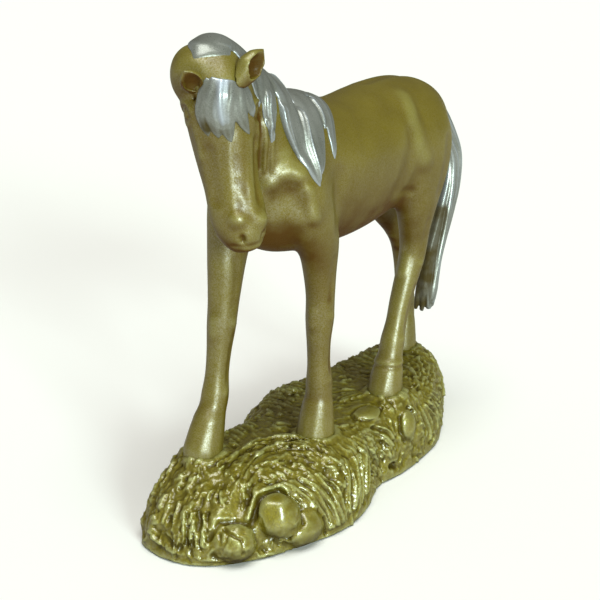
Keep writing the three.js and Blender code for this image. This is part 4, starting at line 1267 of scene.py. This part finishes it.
# %% Node group for metal flakes
FLAKE = 0.35  # size of a flake, in mm
flakes, enter, leave = new_group(
    "metal_flakes", [("Lump", VALUE, 0.5)], [("Sparkle", VALUE), ("Grain", VALUE), ("Cloud", VALUE)]
)
spread = flakes.nodes.new("ShaderNodeTexVoronoi")
wire(flakes, (flakes.nodes.new("ShaderNodeTexCoord"), "Object"), (spread, "Vector"))
fill(spread, {"Scale": 1 / (FLAKE * MM)})
tint = flakes.nodes.new("ShaderNodeSeparateColor")
wire(flakes, (spread, "Color"), (tint, "Color"))
wire(flakes, (tint, "Red"), (leave, "Sparkle"))
lumpy = noise(flakes, size=0.5, detail=4, rough=0.6)
wire(flakes, math_node(flakes, "DIVIDE", 1 / MM, (enter, "Lump")), (lumpy[0], "Scale"))
wire(flakes, lumpy, (leave, "Grain"))
wire(flakes, noise(flakes, size=14, detail=3), (leave, "Cloud"))
print("group metal_flakes with", len(flakes.nodes), "nodes")

# %% [markdown]
# ### Metallic paint
# Gold and silver paint share one recipe: the painted-light group colours the shader, the flakes vary its
# roughness, and the grain gives a faint bump. Raised places get a lighter paint as a painted highlight.
# Where brown painted shade shows, the surface is neither metallic nor varnished, and it is rougher. The
# varnish is the shader's coat, which lends the soft sheen and fades towards the rim. First come a few
# helpers that every finish needs.


# %% Helpers for finishes
def new_finish(name):
    """Material with a Principled shader, and its node tree and shader."""
    finish = bpy.data.materials.new(name)
    tree = nodes_of(finish)
    shader = tree.nodes.new("ShaderNodeBsdfPrincipled")
    wire(tree, (shader, 0), (tree.nodes.new("ShaderNodeOutputMaterial"), "Surface"))
    return finish, tree, shader


def placed(tree, group):
    """A node group placed in a material."""
    node = tree.nodes.new("ShaderNodeGroup")
    node.node_tree = group
    return node


def bumped(tree, shader, height, strength, depth):
    """Bump the shader's surface by a height, over a depth in mm."""
    relief = tree.nodes.new("ShaderNodeBump")
    fill(relief, {"Strength": strength, "Distance": depth * MM})
    wire(tree, height, (relief, "Height"))
    wire(tree, (relief, "Normal"), (shader, "Normal"))


def give(finish, pieces):
    """Make this the only material of each piece."""
    for piece in pieces:
        piece.data.materials.clear()
        piece.data.materials.append(finish)


print("finish helpers ready")

# %% [markdown]
# The recipe takes four colours, and how much each effect counts. It places both groups in a new material
# and leads their outputs into one Principled shader.

# %% Recipe for metallic paint
VARNISH_IOR = 2.1
BARE_SHEEN, SHADE_DULL = 0.15, 0.2
FLAKE_GLOSS = 0.07  # how much rougher or smoother a flake can be


def metallic_paint(name, colours, below, hollows, ridges, metallic, rough, varnish_rough, lump, bump):
    """Paint from its light and dark colours, the colour of its painted highlights and the brown of its
    painted shade, and how much each effect counts.
    """
    light, dark, high, under = [(*c, 1) for c in colours]
    paint, tree, shader = new_finish(name)
    fill(shader, {"Coat Roughness": varnish_rough, "Coat IOR": VARNISH_IOR})
    fill(shader, {"Specular IOR Level": BARE_SHEEN, "Specular Tint": light})
    grain, coat = placed(tree, flakes), placed(tree, shade_group)
    fill(grain, {"Lump": lump})
    fill(coat, {"Raised": high, "Painted Shade": under, "Below": below, "Hollows": hollows, "Ridges": ridges})
    cloud = ramp(tree, (grain, "Cloud"), 0.3, 0.7)
    wire(tree, mix_colours(tree, cloud, dark, light), (coat, "Paint"))
    wire(tree, (coat, "Color"), (shader, "Base Color"))
    rim = tree.nodes.new("ShaderNodeLayerWeight")
    seen = math_node(tree, "SUBTRACT", 1.0, (rim, "Facing"))
    twinkle = ramp(tree, (grain, "Sparkle"), 0, 1, (0.2, 1))
    unshaded = math_node(tree, "SUBTRACT", 1.0, (coat, "Shaded"))
    varnish = math_node(tree, "MULTIPLY", math_node(tree, "MULTIPLY", seen, twinkle), unshaded)
    wire(tree, varnish, (shader, "Coat Weight"))
    wire(tree, math_node(tree, "MULTIPLY", unshaded, metallic), (shader, "Metallic"))
    gloss = ramp(tree, (grain, "Sparkle"), 0, 1, (rough - FLAKE_GLOSS, rough + FLAKE_GLOSS))
    wire(tree, math_node(tree, "MULTIPLY_ADD", (coat, "Shaded"), SHADE_DULL, gloss), (shader, "Roughness"))
    bumped(tree, shader, (grain, "Grain"), bump, depth=0.3)
    return paint


print("recipe with a varnish of index", VARNISH_IOR)

# %% [markdown]
# The horse is olive gold with silver hair. The ground has a gold of its own: lighter on the raised strands
# as a painted highlight, darker in the pits as painted shade, glossier and with a coarser grain.

# %% Gold and silver paint
# Each paint: light and dark colour, the lighter colour of its painted highlights, and the brown of its
# painted shade.
GOLD = [(0.16, 0.125, 0.01), (0.13, 0.098, 0.007), (0.34, 0.33, 0.1), (0.075, 0.036, 0.007)]
GROUND = [(0.19, 0.16, 0.013), (0.165, 0.137, 0.01), (0.44, 0.46, 0.19), (0.035, 0.022, 0.004)]
SILVER = [(0.24, 0.25, 0.23), (0.16, 0.17, 0.145), (0.62, 0.71, 0.86), (0.06, 0.045, 0.015)]
gold = metallic_paint(
    "gold_paint", GOLD, below=1.0, hollows=0.9, ridges=0.3, metallic=0.25, rough=0.42,
    varnish_rough=0.38, lump=0.45, bump=0.45,
)
ground_gold = metallic_paint(
    "ground_gold_paint", GROUND, below=0.9, hollows=0.75, ridges=0.55, metallic=0.35, rough=0.34,
    varnish_rough=0.24, lump=0.7, bump=1.0,
)
silver = metallic_paint(
    "silver_paint", SILVER, below=0.6, hollows=0.9, ridges=0.6, metallic=0.5, rough=0.34,
    varnish_rough=0.34, lump=0.6, bump=0.2,
)
give(gold, dressed["gold_resin"])
give(ground_gold, [base])
give(silver, dressed["silver_resin"])
print("gold on", len(dressed["gold_resin"]), "pieces, silver on", len(dressed["silver_resin"]))

# %% [markdown]
# The reinforcing wires and pins stay CAD pieces inside the castings. They get drawn steel, and the felt
# gets a dull fibre finish.

# %% Steel and felt
DARK_STEEL, LIGHT_STEEL = (0.3, 0.3, 0.31, 1), (0.42, 0.42, 0.43, 1)
steel, tree, shader = new_finish("drawn_steel")
fill(shader, {"Metallic": 1})
scratches = ramp(tree, noise(tree, size=0.8, detail=4), 0.2, 0.8, (0.3, 0.5))
wire(tree, mix_colours(tree, scratches, DARK_STEEL, LIGHT_STEEL), (shader, "Base Color"))
wire(tree, scratches, (shader, "Roughness"))
give(steel, [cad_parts[node] for node in STEEL_NODES])

DARK_FELT, LIGHT_FELT = (0.02, 0.035, 0.02, 1), (0.045, 0.065, 0.04, 1)
felt_cloth, tree, shader = new_finish("green_felt")
fill(shader, {"Roughness": 1, "Sheen Weight": 0.4})
fibres = noise(tree, size=0.6, detail=6, rough=0.7)
wire(tree, mix_colours(tree, fibres, DARK_FELT, LIGHT_FELT), (shader, "Base Color"))
bumped(tree, shader, fibres, strength=0.5, depth=0.4)
give(felt_cloth, dressed["felt"])
print("steel on", len(STEEL_NODES), "nodes, felt on", felt.name)
